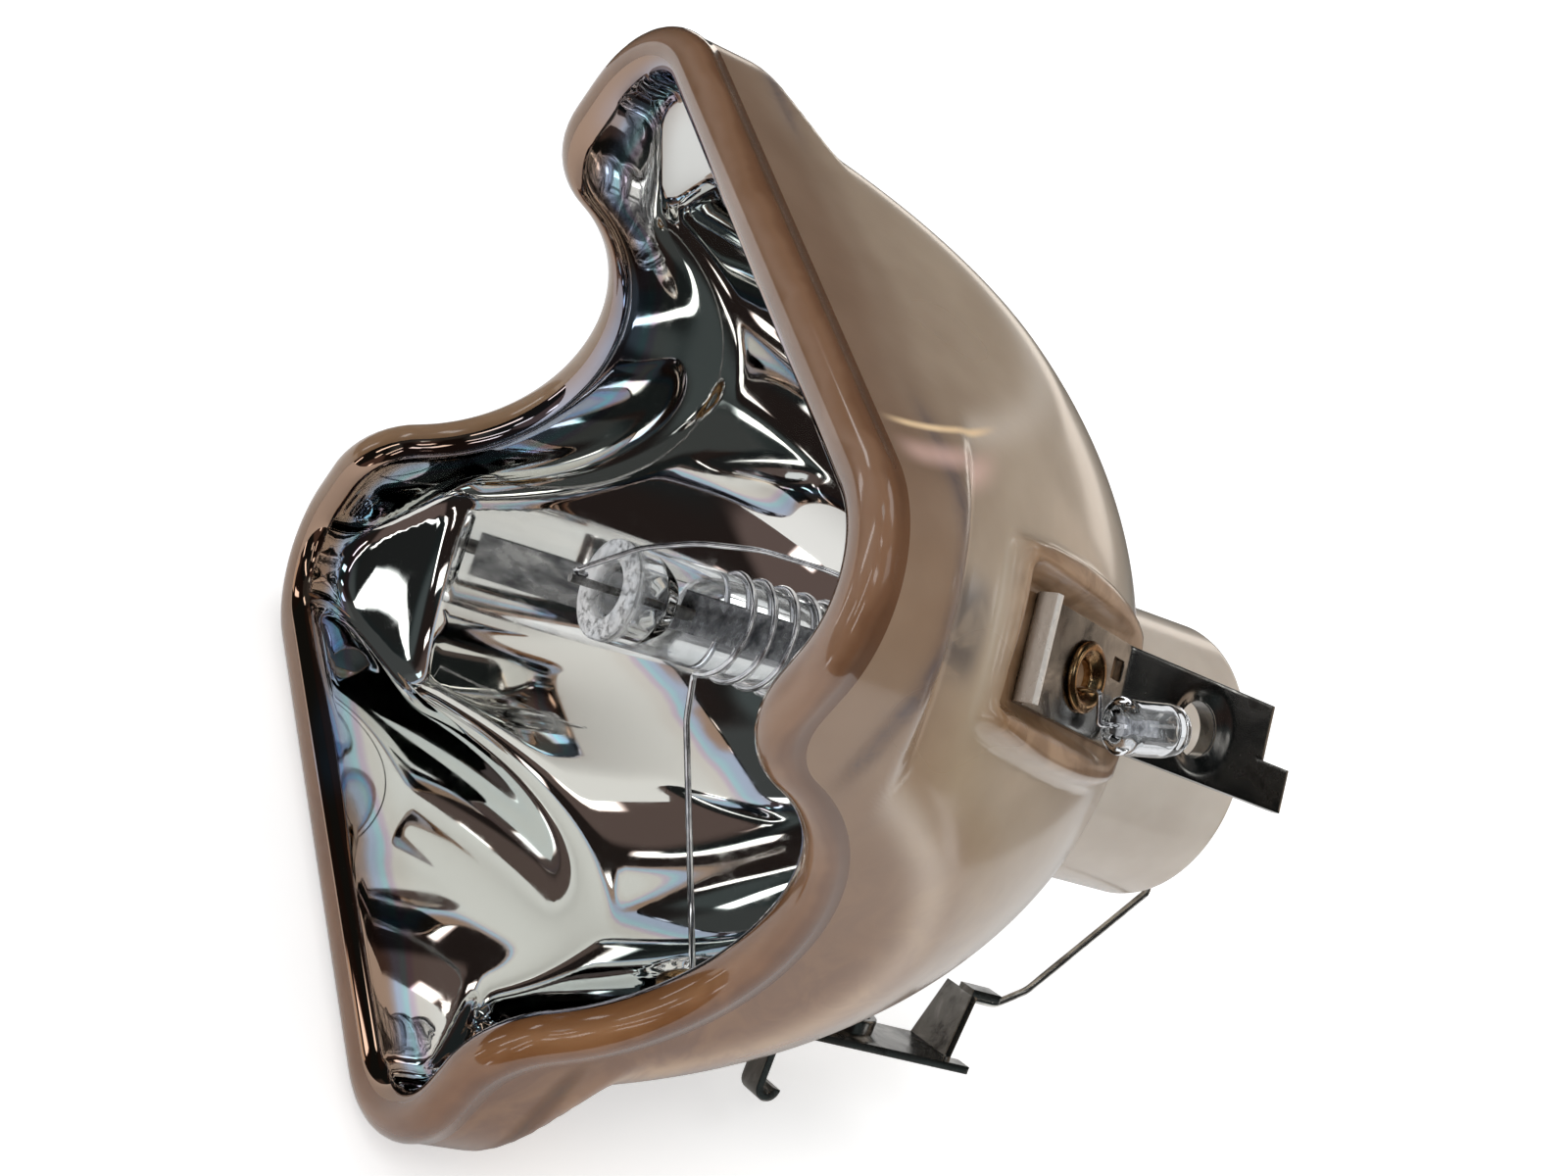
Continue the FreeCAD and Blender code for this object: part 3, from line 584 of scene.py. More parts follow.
    def bump(self, height: Socket, depth: float, strength: float = 1.0) -> "Graph":
        """Relief of a depth in metres."""
        node = self.node("Bump", Distance=depth, Strength=strength, Height=height)
        return self.link(node.outputs["Normal"], "Normal")


def linear(colour: tuple) -> tuple[float, float, float, float]:
    """Linear colour of an sRGB one from 0 to 255.

    Args:
        colour: The sRGB colour.

    Returns:
        The linear colour, with an alpha of 1.
    """
    share = np.array(colour[:3]) / 255.0
    value = np.where(share <= 0.04045, share / 12.92, ((share + 0.055) / 1.055) ** 2.4)
    return (*value.tolist(), 1.0)


@dataclass(frozen=True)
class CoatedGlass:
    """Pressed glass seen from behind its mirror coating: satin taupe, amber toward the rim, with painted highlights
    and painted dark reflections on it.
    """

    name: str = "coated_glass"
    edge: tuple = (196, 180, 166)
    # Painted highlight lines: the constant, half width, strength and colour of each.
    gleams: tuple = ((13.8, 0.00042, 0.95, (255, 222, 178)), (15.9, 0.0014, 0.5, (252, 210, 198)))
    gleam_bend: float = 34.0

    def material(self) -> Material:
        """The finish as a node material.

        Returns:
            The material.
        """
        graph = Graph(self.name)
        cloud = graph.noise(55.0, 2.0, 0.5)
        side = graph.span(graph.maths("ABSOLUTE", graph.axis(0)), 0.017, 0.0265)
        depth = graph.plus(graph.mark("from_rim"), graph.span(cloud, 0.2, 0.8, -1.5, 1.5))
        along = graph.span(depth, 0.0, 36.0)
        plain = graph.ramp(along, [
            (0.0, (146, 124, 106)), (0.02, (158, 140, 123)), (0.06, (176, 161, 144)), (0.2, (190, 177, 160)),
            (0.7, (196, 184, 168)), (1.0, (212, 206, 197)),
        ])
        amber = graph.ramp(along, [
            (0.0, (150, 126, 104)), (0.06, (172, 150, 126)), (0.16, (180, 162, 136)), (0.32, (186, 173, 154)),
            (1.0, (194, 182, 166)),
        ])
        base = graph.mix(side, plain, amber)
        mottle = graph.ramp(graph.noise(180.0, 3.0, 0.55), [(0.2, (228, 220, 212)), (0.8, (255, 252, 248))])
        colour = graph.mix(0.7, base, mottle, "MULTIPLY")
        sheen = graph.ramp(graph.facing(0.3), [(0.0, (255, 255, 255)), (0.55, (246, 238, 232)), (1.0, self.edge)])
        colour = graph.mix(0.8, colour, sheen, "MULTIPLY")
        veins = graph.span(graph.noise(240.0, 3.0, 0.6, twist=1.2), 0.35, 0.65)
        brown = graph.mix(veins, linear((170, 138, 104)), linear((222, 196, 172)))
        colour = graph.tinted(graph.times(graph.mark("rib"), 0.9), colour, brown)
        # Painted highlight along the creased line between the bowl and the rounded square.
        colour = graph.mix(graph.times(graph.mark("crease"), 0.5), colour, linear((226, 214, 200)))
        # Painted dark reflection line along each lug's fold.
        dark = graph.times(graph.mark("lug"), graph.span(veins, 0.0, 1.0, 0.5, 0.8))
        colour = graph.mix(dark, colour, linear((86, 78, 82)))
        # Painted shade: a dark reflection painted on the glass before the side seat.
        shade = graph.times(graph.mark("shade"), graph.span(veins, 0.0, 1.0, 0.4, 0.8))
        colour = graph.mix(shade, colour, linear((92, 84, 80)))
        toward_corner = graph.times(self.below(graph), graph.span(depth, 21.0, 4.0))
        amber_low = graph.mix(veins, linear((196, 152, 108)), linear((232, 196, 150)))
        colour = graph.tinted(graph.times(toward_corner, 0.85), colour, amber_low)
        # Painted highlight lines on the top face.
        for line, width, share, hue in self.gleams:
            colour = graph.mix(self.gleam(graph, line, width, share), colour, linear(hue))
        graph.link(colour, "Base Color")
        graph.link(graph.span(cloud, 0.2, 0.8, 0.26, 0.4), "Roughness")
        graph.link(graph.span(graph.mark("lug"), 0.0, 0.6, 0.7, 0.1), "Coat Weight")
        graph.set(Coat_Roughness=0.14, Coat_IOR=1.5, IOR=1.5, Subsurface_Weight=0.1,
                  Subsurface_Scale=0.002, Subsurface_Radius=(1.0, 0.6, 0.35))
        return graph.bump(graph.noise(900.0, 2.0, 0.5), 0.000015, 0.5).material

    def below(self, graph: Graph) -> Socket:
        """Share of the amber that gathers toward the lower front corner, along x / 2 less z."""
        reach = graph.less(graph.times(graph.axis(0), 0.5), graph.axis(2))
        return graph.span(reach, -0.006, 0.024)

    def gleam(self, graph: Graph, line: float, width: float, share: float) -> Socket:
        """Painted highlight line on the upper face, where x + gleam_bend * y^2 is constant.

        Args:
            graph: The material being built.
            line: The constant, in millimetres.
            width: Half width of the line, in metres.
            share: Strength of the line.

        Returns:
            The strength at each place.
        """
        depth = graph.axis(1)
        curve = graph.plus(graph.axis(0), graph.times(graph.times(depth, depth), self.gleam_bend))
        off = graph.apart(curve, line * MM)
        bell = graph.span(off, width, 0.0, 0.0, share)
        ends = graph.times(graph.span(depth, 0.0008, 0.003), graph.span(depth, 0.0105, 0.0075))
        return graph.times(graph.times(bell, ends), graph.span(graph.axis(2), 0.016, 0.02))


@dataclass(frozen=True)
class RimGlass:
    """Clear amber glass of the rim bead, with painted shading: darker along both of its edges, lighter on its crest,
    and darker along the top.
    """

    name: str = "rim_glass"

    def material(self) -> Material:
        """The finish as a node material.

        Returns:
            The material.
        """
        graph = Graph(self.name)
        streak = graph.noise(120.0, 3.0, 0.6, twist=0.4)
        # Painted shading across the bead's round: dark at both edges, light on the crest.
        across = graph.plus(graph.mark("round_bead"), graph.span(streak, 0.2, 0.8, -0.12, 0.12))
        base = graph.ramp(across, [
            (0.0, (118, 92, 70)), (0.16, (132, 104, 80)), (0.3, (154, 127, 102)), (0.48, (168, 145, 124)),
            (0.62, (150, 123, 98)), (0.8, (126, 99, 74)), (1.0, (112, 88, 68)),
        ])
        lower = graph.span(graph.less(graph.times(graph.axis(0), 0.7), graph.axis(2)), -0.016, 0.026)
        amber = graph.mix(graph.span(streak, 0.3, 0.7), linear((186, 142, 102)), linear((232, 192, 148)))
        base = graph.tinted(graph.times(lower, 0.9), base, amber)
        # Painted shade on the top of the bead: darker toward +Z, where the lamps light it most.
        upper = graph.span(graph.axis(2), 0.002, 0.024)
        base = graph.tinted(upper, base, linear((226, 210, 204)))
        graph.link(base, "Base Color")
        graph.link(graph.span(streak, 0.2, 0.8, 0.08, 0.2), "Roughness")
        graph.set(Coat_Weight=1.0, Coat_Roughness=0.04, Coat_IOR=1.5, IOR=1.5, Subsurface_Weight=0.15,
                  Subsurface_Scale=0.0015, Subsurface_Radius=(1.0, 0.55, 0.3))
        return graph.bump(graph.noise(420.0, 2.0, 0.5), 0.00002, 0.4).material


@dataclass(frozen=True)
class MirrorCoat:
    """Interference mirror on the inside of the bowl, with colours only at its edges."""

    name: str = "mirror_coat"

    def material(self) -> Material:
        """The finish as a node material.

        Returns:
            The material.
        """
        graph = Graph(self.name)
        drift = graph.noise(60.0, 2.0, 0.5, twist=0.6)
        near = graph.plus(graph.mark("from_rim"), graph.span(drift, 0.2, 0.8, -0.5, 0.5))
        edge = graph.ramp(graph.span(near, 0.0, 4.0), [
            (0.0, (176, 148, 130)), (0.08, (190, 204, 232)), (0.2, (186, 226, 238)), (0.32, (222, 206, 226)),
            (0.5, (238, 234, 230)), (1.0, (246, 246, 244)),
        ])
        turned = graph.plus(graph.facing(0.5), graph.span(drift, 0.2, 0.8, -0.05, 0.05))
        hues = graph.ramp(turned, [
            (0.0, (248, 247, 244)), (0.45, (246, 247, 246)), (0.7, (236, 244, 248)), (0.82, (240, 236, 248)),
            (0.93, (250, 236, 232)), (1.0, (255, 248, 240)),
        ])
        graph.link(graph.mix(0.9, edge, hues, "MULTIPLY"), "Base Color")
        graph.link(graph.span(graph.noise(500.0, 4.0, 0.7), 0.45, 0.8, 0.02, 0.07), "Roughness")
        graph.set(Metallic=1.0)
        return graph.bump(graph.noise(90.0, 2.0, 0.4), 0.00002, 0.3).material


@dataclass(frozen=True)
class ClearGlass:
    """Clear fused glass, frosted where it was cut."""

    name: str = "clear_quartz"
    frosted: bool = True
    index: float = 1.46

    def material(self) -> Material:
        """The finish as a node material.

        Returns:
            The material.
        """
        graph = Graph(self.name)
        draw = graph.noise(500.0, 3.0, 0.6, stretch=(1, 0.12, 1))
        rough = graph.span(draw, 0.35, 0.7, 0.0, 0.04)
        relief = draw
        if self.frosted:
            cut = graph.mark("frost")
            rough = graph.maths("MAXIMUM", rough, graph.times(cut, 0.42))
            grit = graph.times(graph.noise(2600.0, 4.0, 0.75), cut)
            relief = graph.plus(graph.times(draw, 0.12), graph.times(grit, 2.4))
            chips = graph.span(graph.noise(1900.0, 4.0, 0.8), 0.62, 0.45, 0.15, 0.85)
            graph.link(graph.less(1.0, graph.times(chips, cut)), "Transmission Weight")
        graph.link(rough, "Roughness")
        tint = graph.ramp(draw, [(0.3, (238, 242, 246)), (0.7, (255, 255, 255))])
        graph.link(tint, "Base Color")
        graph.set(IOR=self.index)
        if not self.frosted:
            graph.set(Transmission_Weight=1.0)
        return graph.bump(relief, 0.00006, 0.6).material


@dataclass(frozen=True)
class DrawnWire:
    """Drawn metal wire with lengthwise marks and a little tarnish."""

    name: str
    dark: tuple
    light: tuple
    roughness: tuple[float, float] = (0.16, 0.32)

    def material(self) -> Material:
        """The finish as a node material.

        Returns:
            The material.
        """
        graph = Graph(self.name)
        tarnish = graph.noise(700.0, 4.0, 0.6)
        graph.link(graph.ramp(tarnish, [(0.3, self.dark), (0.65, self.light)]), "Base Color")
        graph.link(graph.span(tarnish, 0.3, 0.7, *self.roughness[::-1]), "Roughness")
        graph.set(Metallic=1.0)
        return graph.bump(graph.noise(5200.0, 3.0, 0.6), 0.000012, 0.5).material


@dataclass(frozen=True)
class StampedPlate:
    """Bright plated strip steel with die marks, smears and dull patches, and a painted highlight on the lip's
    knurled face.
    """

    name: str = "nickelled_strip"
    dark: tuple = (74, 72, 70)
    light: tuple = (172, 169, 164)

    def material(self) -> Material:
        """The finish as a node material.

        Returns:
            The material.
        """
        graph = Graph(self.name)
        smear = graph.noise(330.0, 5.0, 0.6, twist=0.8)
        grain = graph.noise(2400.0, 3.0, 0.6, stretch=(1.0, 0.08, 1.0))
        plain = graph.ramp(smear, [(0.28, self.dark), (0.5, (132, 130, 126)), (0.72, self.light)])
        burnt = graph.span(graph.noise(140.0, 3.0, 0.5), 0.52, 0.7)
        # The lip's knurled face: pressed relief, and a painted highlight in near white with less metal.
        knurl = graph.mark("knurl")
        plate_and_highlight = graph.mix(knurl, graph.mix(burnt, plain, linear((92, 82, 74))), linear((226, 220, 212)))
        graph.link(plate_and_highlight, "Base Color")
        graph.link(graph.span(smear, 0.3, 0.7, 0.3, 0.13), "Roughness")
        graph.link(graph.less(1.0, graph.times(knurl, 0.65)), "Metallic")
        pressed = graph.times(graph.noise(1500.0, 2.0, 0.5), knurl)
        relief = graph.plus(graph.times(grain, 0.2), graph.times(pressed, 4.0))
        return graph.bump(relief, 0.00003, 0.8).material


@dataclass(frozen=True)
class SpunBrass:
    """Brass of the eyelets, spun bright and heat-tinted in patches."""

    name: str = "eyelet_brass"

    def material(self) -> Material:
        """The finish as a node material.

        Returns:
            The material.
        """
        graph = Graph(self.name)
        tint = graph.noise(900.0, 4.0, 0.6)
        brass = graph.ramp(tint, [(0.3, (104, 76, 52)), (0.5, (172, 134, 92)), (0.7, (222, 194, 152))])
        graph.link(brass, "Base Color")
        graph.link(graph.span(tint, 0.3, 0.7, 0.3, 0.14), "Roughness")
        graph.set(Metallic=1.0)
        return graph.bump(graph.noise(3800.0, 2.0, 0.5), 0.00001, 0.6).material


@dataclass(frozen=True)
class GrittyCement:
    """Pale sand-filled cement with pits and stains."""

    name: str = "neck_cement"

    def material(self) -> Material:
        """The finish as a node material.

        Returns:
            The material.
        """
        graph = Graph(self.name)
        sand = graph.cells(3200.0)
        stain = graph.noise(420.0, 4.0, 0.6)
        base = graph.ramp(stain, [(0.3, (182, 172, 156)), (0.55, (218, 211, 199)), (0.75, (238, 233, 224))])
        grains = graph.ramp(sand, [(0.0, (150, 140, 126)), (0.35, (255, 255, 255))])
        graph.link(graph.mix(0.5, base, grains, "MULTIPLY"), "Base Color")
        graph.set(Roughness=0.92, Specular_IOR_Level=0.25)
        relief = graph.plus(sand, graph.noise(1500.0, 4.0, 0.7))
        return graph.bump(relief, 0.00012, 0.9).material


@dataclass(frozen=True)
class HotMetal:
    """Metal that is sealed in glass: tungsten, foil and mercury, each with its own grain."""

    name: str
    dark: tuple
    light: tuple
    roughness: float
    scale: float = 900.0
    depth: float = 0.00001

    def material(self) -> Material:
        """The finish as a node material.

        Returns:
            The material.
        """
        graph = Graph(self.name)
        grain = graph.noise(self.scale, 4.0, 0.65)
        graph.link(graph.ramp(grain, [(0.3, self.dark), (0.7, self.light)]), "Base Color")
        graph.link(graph.span(grain, 0.3, 0.7, self.roughness * 1.25, self.roughness * 0.8), "Roughness")
        graph.set(Metallic=1.0)
        return graph.bump(grain, self.depth, 0.7).material


class WireMetal(Enum):
    """The metals that the lamp's wires are drawn from."""

    BRIGHT = DrawnWire("bright_wire", (168, 168, 172), (244, 244, 246), (0.1, 0.22))
    NICKEL = DrawnWire("nickel_wire", (138, 134, 128), (226, 224, 218), (0.1, 0.24))


# The reflector


@dataclass(frozen=True)
class Corner:
    """Place of one terminal: its frame in the seat, and the free arm that it ends in.

    Attributes:
        angle: Turn about the optical axis, in degrees from +Z toward +X.
        yaw: Turn in the seat, about its normal.
        hand: Side of the notch on which the flange stands.
        arm_tilt: Fall of the arm toward the axis.
        arm_end: Distance of the flange's fold from the eyelet, along the strip.
        tab_end: Distance of the tab's end.
        tab_width: Width of the tab.
    """

    angle: float
    yaw: float
    hand: int
    arm_tilt: float
    arm_end: float
    tab_end: float
    tab_width: float
    seat_depth: float = 20.2
    seat_radius: float = 23.797
    seat_tilt: float = 18.8
    bend_reach: float = 4.35
    half_width: float = 2.86
    flange_height: float = 4.6
    flange_lean: float = 18.0

    @staticmethod
    def leaning(angle: float) -> tuple[Array, Array]:
        """Directions along and out of a sheet that falls toward the axis by an angle.

        Args:
            angle: The fall, in degrees.

        Returns:
            The two unit directions.
        """
        fall = np.radians(angle)
        along = np.array([0.0, np.cos(fall), -np.sin(fall)])
        return along, np.cross(X_AXIS, along)

    @property
    def middle(self) -> Array:
        """Middle of the eyelet on the seat plane, before the corner is placed."""
        return np.array([0.0, self.seat_depth, self.seat_radius])

    @property
    def turn(self) -> Array:
        """Matrix that turns an unplaced direction to this corner."""
        return rotation(Y_AXIS, self.angle) @ rotation(self.leaning(self.seat_tilt)[1], self.yaw)

    def put(self, points: Array) -> Array:
        """Unplaced points brought to this corner of the bowl."""
        lifted = (points - self.middle) @ self.turn.T
        return lifted + rotation(Y_AXIS, self.angle) @ self.middle

    def unput(self, points: Array) -> Array:
        """Placed points in the unplaced frame of this corner."""
        return (points - rotation(Y_AXIS, self.angle) @ self.middle) @ self.turn + self.middle

    def seat(self, along: float, across: float = 0.0, out: float = 0.0) -> Array:
        """Unplaced point from the middle of the eyelet, in the seat's own directions."""
        forward, normal = self.leaning(self.seat_tilt)
        return self.middle + forward * along + X_AXIS * across + normal * out

    def arm(self, along: float, across: float = 0.0, out: float = 0.0) -> Array:
        """Unplaced point on the free arm, at a distance along the folded strip."""
        forward, normal = self.leaning(self.arm_tilt)
        return self.seat(self.bend_reach) + forward * (along - self.bend_reach) + X_AXIS * across + normal * out

    def stand(self, ring: Patch, base: Array, tilt: float) -> Patch:
        """Ring turned about +Y, stood square on a sheet and brought to this corner.

        Args:
            ring: The ring, about the origin.
            base: Unplaced point under its middle.
            tilt: Fall of the sheet toward the axis.

        Returns:
            The same ring, closed and placed.
        """
        forward, normal = self.leaning(tilt)
        ring.points = self.put(base + ring.points @ np.stack([X_AXIS, normal, -forward]))
        ring.wrap_rows = True
        return ring

    @property
    def notch(self) -> float:
        """Distance across at which the tab and the flange part."""
        return self.tab_width - self.half_width

    @property
    def flange_way(self) -> Array:
        """Direction in which the flange runs from its fold.

        Returns:
            The unit direction.
        """
        forward, normal = self.leaning(self.arm_tilt)
        fall = np.radians(self.flange_lean)
        return forward * np.sin(fall) - normal * np.cos(fall)

    @property
    def flange_top(self) -> Array:
        """Free edge of the flange, over the strip's middle line."""
        return self.arm(self.arm_end) + self.flange_way * self.flange_height

    @property
    def radial(self) -> Array:
        """Direction from the optical axis to this corner."""
        return rotation(Y_AXIS, self.angle) @ Z_AXIS


SIDE = Corner(angle=45.6, yaw=-2.3, hand=-1, arm_tilt=2.4, arm_end=16.8, tab_end=19.0, tab_width=2.53)
LOWER = Corner(angle=147.0, yaw=3.5, hand=1, arm_tilt=-0.5, arm_end=19.2, tab_end=19.9, tab_width=1.36)


@dataclass
class Reflector:
    """Square-mouthed elliptical bowl of pressed glass, with its rim bead, seats and neck.

    The whole skin is one closed grid: columns go round the rim line, and rows run from the
    rim bead down the outside, over the end of the neck, and up the mirror to the bead again.
    """

    rim_half: float = 23.72
    rim_corner: float = 6.62
    wall_out: float = 1.18
    wall_in: float = 1.62
    bead: float = 1.28
    scallop_depth: float = 10.0
    scallop_half: float = 15.2
    shoulder_share: float = 0.27
    reach: float = 43.4
    radius: float = 28.8
    centre: float = -4.85
    wall: float = 2.6
    lug_depth: float = 4.4
    lug_foot: float = 7.4
    pocket_foot: float = 6.5
    pocket_radius: float = 28.8
    pocket_depth: float = 2.5
    neck_radius: float = 9.35
    neck_end: float = 48.5
    neck_bore: float = 6.6
    rib_half: float = 5.21
    channel_half: float = 3.21
    rib_height: float = 1.3
    seat_front: float = 11.5
    seat_rear: float = 28.0
    neck_front: float = 38.0
    outer_last: float = 36.9
    inner_last: float = 34.9
    edge_melt: float = 1.1
    neck_melt: float = 2.2
    lug_melt: float = 0.9
    pocket_melt: float = 0.7
    bore_melt: float = 0.5
    mirror_melt: float = 0.9
    seat_reach: float = 9.0
    seat_limit: float = 36.0
    least_slope: float = 0.3
    channel_sink: float = 0.52
    spot_face: float = 2.47
    spot_radius: float = 2.15
    columns: int = 400
    outer_rows: int = 116
    inner_rows: int = 84
    bead_rows: int = 18

    def square(self, angle: Array, half: float, corner: float) -> Array:
        """Radius of a rounded square at an angle from +Z toward +X.

        On a side it is half / cos of the folded angle, and on a corner it is the far
        crossing of the ray with the corner's circle.

        Args:
            angle: Angles round the axis.
            half: Half of the square's side.
            corner: Radius of its corners.

        Returns:
            The radius at each angle.
        """
        folded = np.abs((angle + np.pi / 4) % (np.pi / 2) - np.pi / 4)
        flat = half / np.cos(folded)
        inset = half - corner
        reach = inset * (np.cos(folded) + np.sin(folded))
        chord = np.sqrt(np.maximum(reach**2 - 2.0 * inset**2 + corner**2, 0.0))
        return np.where(half * np.tan(folded) <= inset, flat, reach + chord)

    def scallop(self, height: Array) -> Array:
        """Depth of the rim line over a scalloped side: a hollow arc between two shoulders.

        Args:
            height: Distance from the middle of the side.

        Returns:
            Depth behind the rim plane.
        """
        turn = 2.0 * np.arctan(self.scallop_depth / self.scallop_half)
        total = self.scallop_half / np.sin(turn)
        shoulder = total * self.shoulder_share
        hollow = total - shoulder
        away = np.abs(height)
        rise = self.scallop_depth - hollow + np.sqrt(np.maximum(hollow**2 - away**2, 0.0))
        fall = shoulder - np.sqrt(np.maximum(shoulder**2 - (self.scallop_half - away) ** 2, 0.0))
        depth = np.where(away < hollow * np.sin(turn), rise, fall)
        return np.where(away < self.scallop_half, depth, 0.0)

    def rim_line(self, angle: Array) -> Array:
        """Points of the rim line at angles round the axis.

        Args:
            angle: Angles round the axis.

        Returns:
            One point for each angle.
        """
        radius = self.square(angle, self.rim_half, self.rim_corner)
        x, z = radius * np.sin(angle), radius * np.cos(angle)
        sided = np.abs(x) >= self.rim_half - 1e-9
        depth = np.where(sided, self.scallop(z), 0.0)
        return np.stack([x, depth, z], axis=-1)

    def ellipse(self, depth: Array, inset: float) -> Array:
        """Radius of the bowl's ellipse, moved inward by inset, and 0 behind its tip."""
        share = (depth - self.centre) / (self.reach - inset)
        return (self.radius - inset) * np.sqrt(np.maximum(1.0 - share**2, 0.0))

    def outside(self, angle: Array, depth: Array) -> Array:
        """Radius of the outer skin: the lesser of square and bowl, with lugs, seats and neck.

        Args:
            angle: Angles round the axis.
            depth: Depths behind the rim plane.

        Returns:
            The radius at each point.
        """
        radius = soft_min(self.bowl(depth), self.prism(angle), self.edge_melt)
        for site in (SIDE, LOWER):
            radius = self.seated(site, angle, depth, radius)
        return radius

    def prism(self, angle: Array) -> Array:
        """Radius of the rounded square that the bowl is cut to."""
        return self.square(angle, self.rim_half + self.wall_out, self.rim_corner + self.wall_out)

    def bowl(self, depth: Array) -> Array:
        """Radius of the outer bowl: its ellipse, the neck behind it and the corner lugs on it.

        Args:
            depth: Depths behind the rim plane.

        Returns:
            The radius at each depth.
        """
        foot = self.ellipse(np.array(self.lug_foot), 0.0)
        half, corner = self.rim_half + self.wall_out, self.rim_corner + self.wall_out
        far = (half - corner) * np.sqrt(2.0) + corner
        lug = foot + (self.lug_foot - depth) * (far - foot) / (self.lug_foot - self.lug_depth)
        bowl = soft_max(self.ellipse(depth, 0.0), np.full_like(depth, self.neck_radius), self.neck_melt)
        bowl = np.where(depth > self.neck_front, self.neck_radius, bowl)
        return soft_max(bowl, lug, self.lug_melt)

    def seated(self, site: Corner, angle: Array, depth: Array, radius: Array) -> Array:
        """Outer radius with one terminal's ribs raised and its channel cut flat.

        Args:
            site: The terminal's corner.
            angle: Angles round the axis.
            depth: Depths behind the rim plane.
            radius: Outer radius without the seat.

        Returns:
            The radius with the seat.
        """
        local = site.unput(about_axis(radius, angle, depth))
        across = np.abs(local[..., 0])
        near = (local[..., 2] > 0.0) & (across < self.seat_reach) & (depth < self.seat_limit)
        radius = radius + self.pad(local, depth) * self.rib_height
        floor, met = self.plane(site, angle, depth, -self.channel_sink)
        front = (self.seat_front + 1.0 - site.seat_depth) / np.cos(np.radians(site.seat_tilt))
        forward = site.leaning(site.seat_tilt)[0]
        along = (local - site.middle) @ forward
        cut = (1.0 - smooth_step(across, self.channel_half - 0.1, self.channel_half + 0.75))
        cut = cut * smooth_step(along, front - 0.5, front + 0.35)
        drop = np.maximum(radius - floor, 0.0)
        return radius - np.where(near & met, cut * drop, 0.0)

    def plane(self, site: Corner, angle: Array, depth: Array, out: float) -> tuple[Array, Array]:
        """Radius at which rays from the axis meet a plane that lies along a seat.

        Args:
            site: The terminal's corner.
            angle: Angles round the axis.
            depth: Depths behind the rim plane.
            out: Height of the plane over the seat.

        Returns:
            The radius for each ray, and whether the ray meets the plane's face.
        """
        normal = rotation(Y_AXIS, site.angle) @ site.leaning(site.seat_tilt)[1]
        level = float(normal @ site.put(site.seat(0.0, 0.0, out)))
        slope = about_axis(1.0, angle, 0.0) @ normal
        met = slope > self.least_slope
        return (level - depth * normal[1]) / np.where(met, slope, 1.0), met

    def pad(self, local: Array, depth: Array) -> Array:
        """How far a seat's ribs have risen, from 0 to 1: a lens about the seat's middle line.

        Args:
            local: Points in the unplaced frame of the seat.
            depth: Their depths behind the rim plane.

        Returns:
            The rise at each point.
        """
        across = np.abs(local[..., 0])
        near = (local[..., 2] > 0.0) & (across < self.seat_reach) & (depth < self.seat_limit)
        ends = smooth_step(depth, self.seat_front - 0.6, self.seat_front + 0.9)
        ends = ends * (1.0 - smooth_step(depth, self.seat_rear - 1.6, self.seat_rear + 0.6))
        middle = (self.seat_front + self.seat_rear) / 2 - 1.5
        share = (depth - middle) / (self.seat_rear - self.seat_front) * 1.75
        edge = self.channel_half + 0.3 + (self.rib_half - self.channel_half) * np.sqrt(np.clip(1 - share**2, 0, 1))
        return np.where(near, (1.0 - smooth_step(across, edge - 0.75, edge + 0.25)) * ends, 0.0)

    def outer_marks(self, points: Array) -> dict[str, Array]:
        """Where the outer skin is creased, ribbed and folded at a lug, and the place before the seat: the creased
        line takes a painted highlight, the lug's fold a painted dark line, and the place before the seat painted
        shade.

        The crease is exp(-(d / 0.5)^2), with d the gap between bowl and square, and the
        other marks are bells of the same kind about their own lines.

        Args:
            points: Points of the outer skin.

        Returns:
            The marks by name.
        """
        x, depth, z = np.moveaxis(points, -1, 0)
        angle, radius = np.arctan2(x, z), np.hypot(x, z)
        # Painted highlight line: a bell about the place where the bowl meets the rounded square.
        crease = np.exp(-(((self.bowl(depth) - self.prism(angle)) / 0.5) ** 2))
        crease = crease * smooth_step(depth, 5.5, 8.5)
        rib = np.maximum(*(self.pad(site.unput(points), depth) for site in (SIDE, LOWER)))
        # Where the painted dark reflection line runs along each lug's fold.
        lug = np.exp(-(((depth - self.lug_depth - 0.1) / 0.6) ** 2)) * smooth_step(radius, 26.6, 28.6)
        # Painted shade before the side seat, where a dark reflection is painted on the glass.
        local = SIDE.unput(points)
        before = smooth_step(depth, self.lug_depth + 0.6, self.lug_depth + 1.6)
        before = before * (1.0 - smooth_step(depth, self.seat_front - 2.2, self.seat_front - 0.4))
        shade = before * (1.0 - smooth_step(np.abs(local[..., 0] - 0.6), 1.2, 3.4)) * (local[..., 2] > 0.0)
        return {"crease": crease, "rib": rib, "lug": lug, "shade": shade}

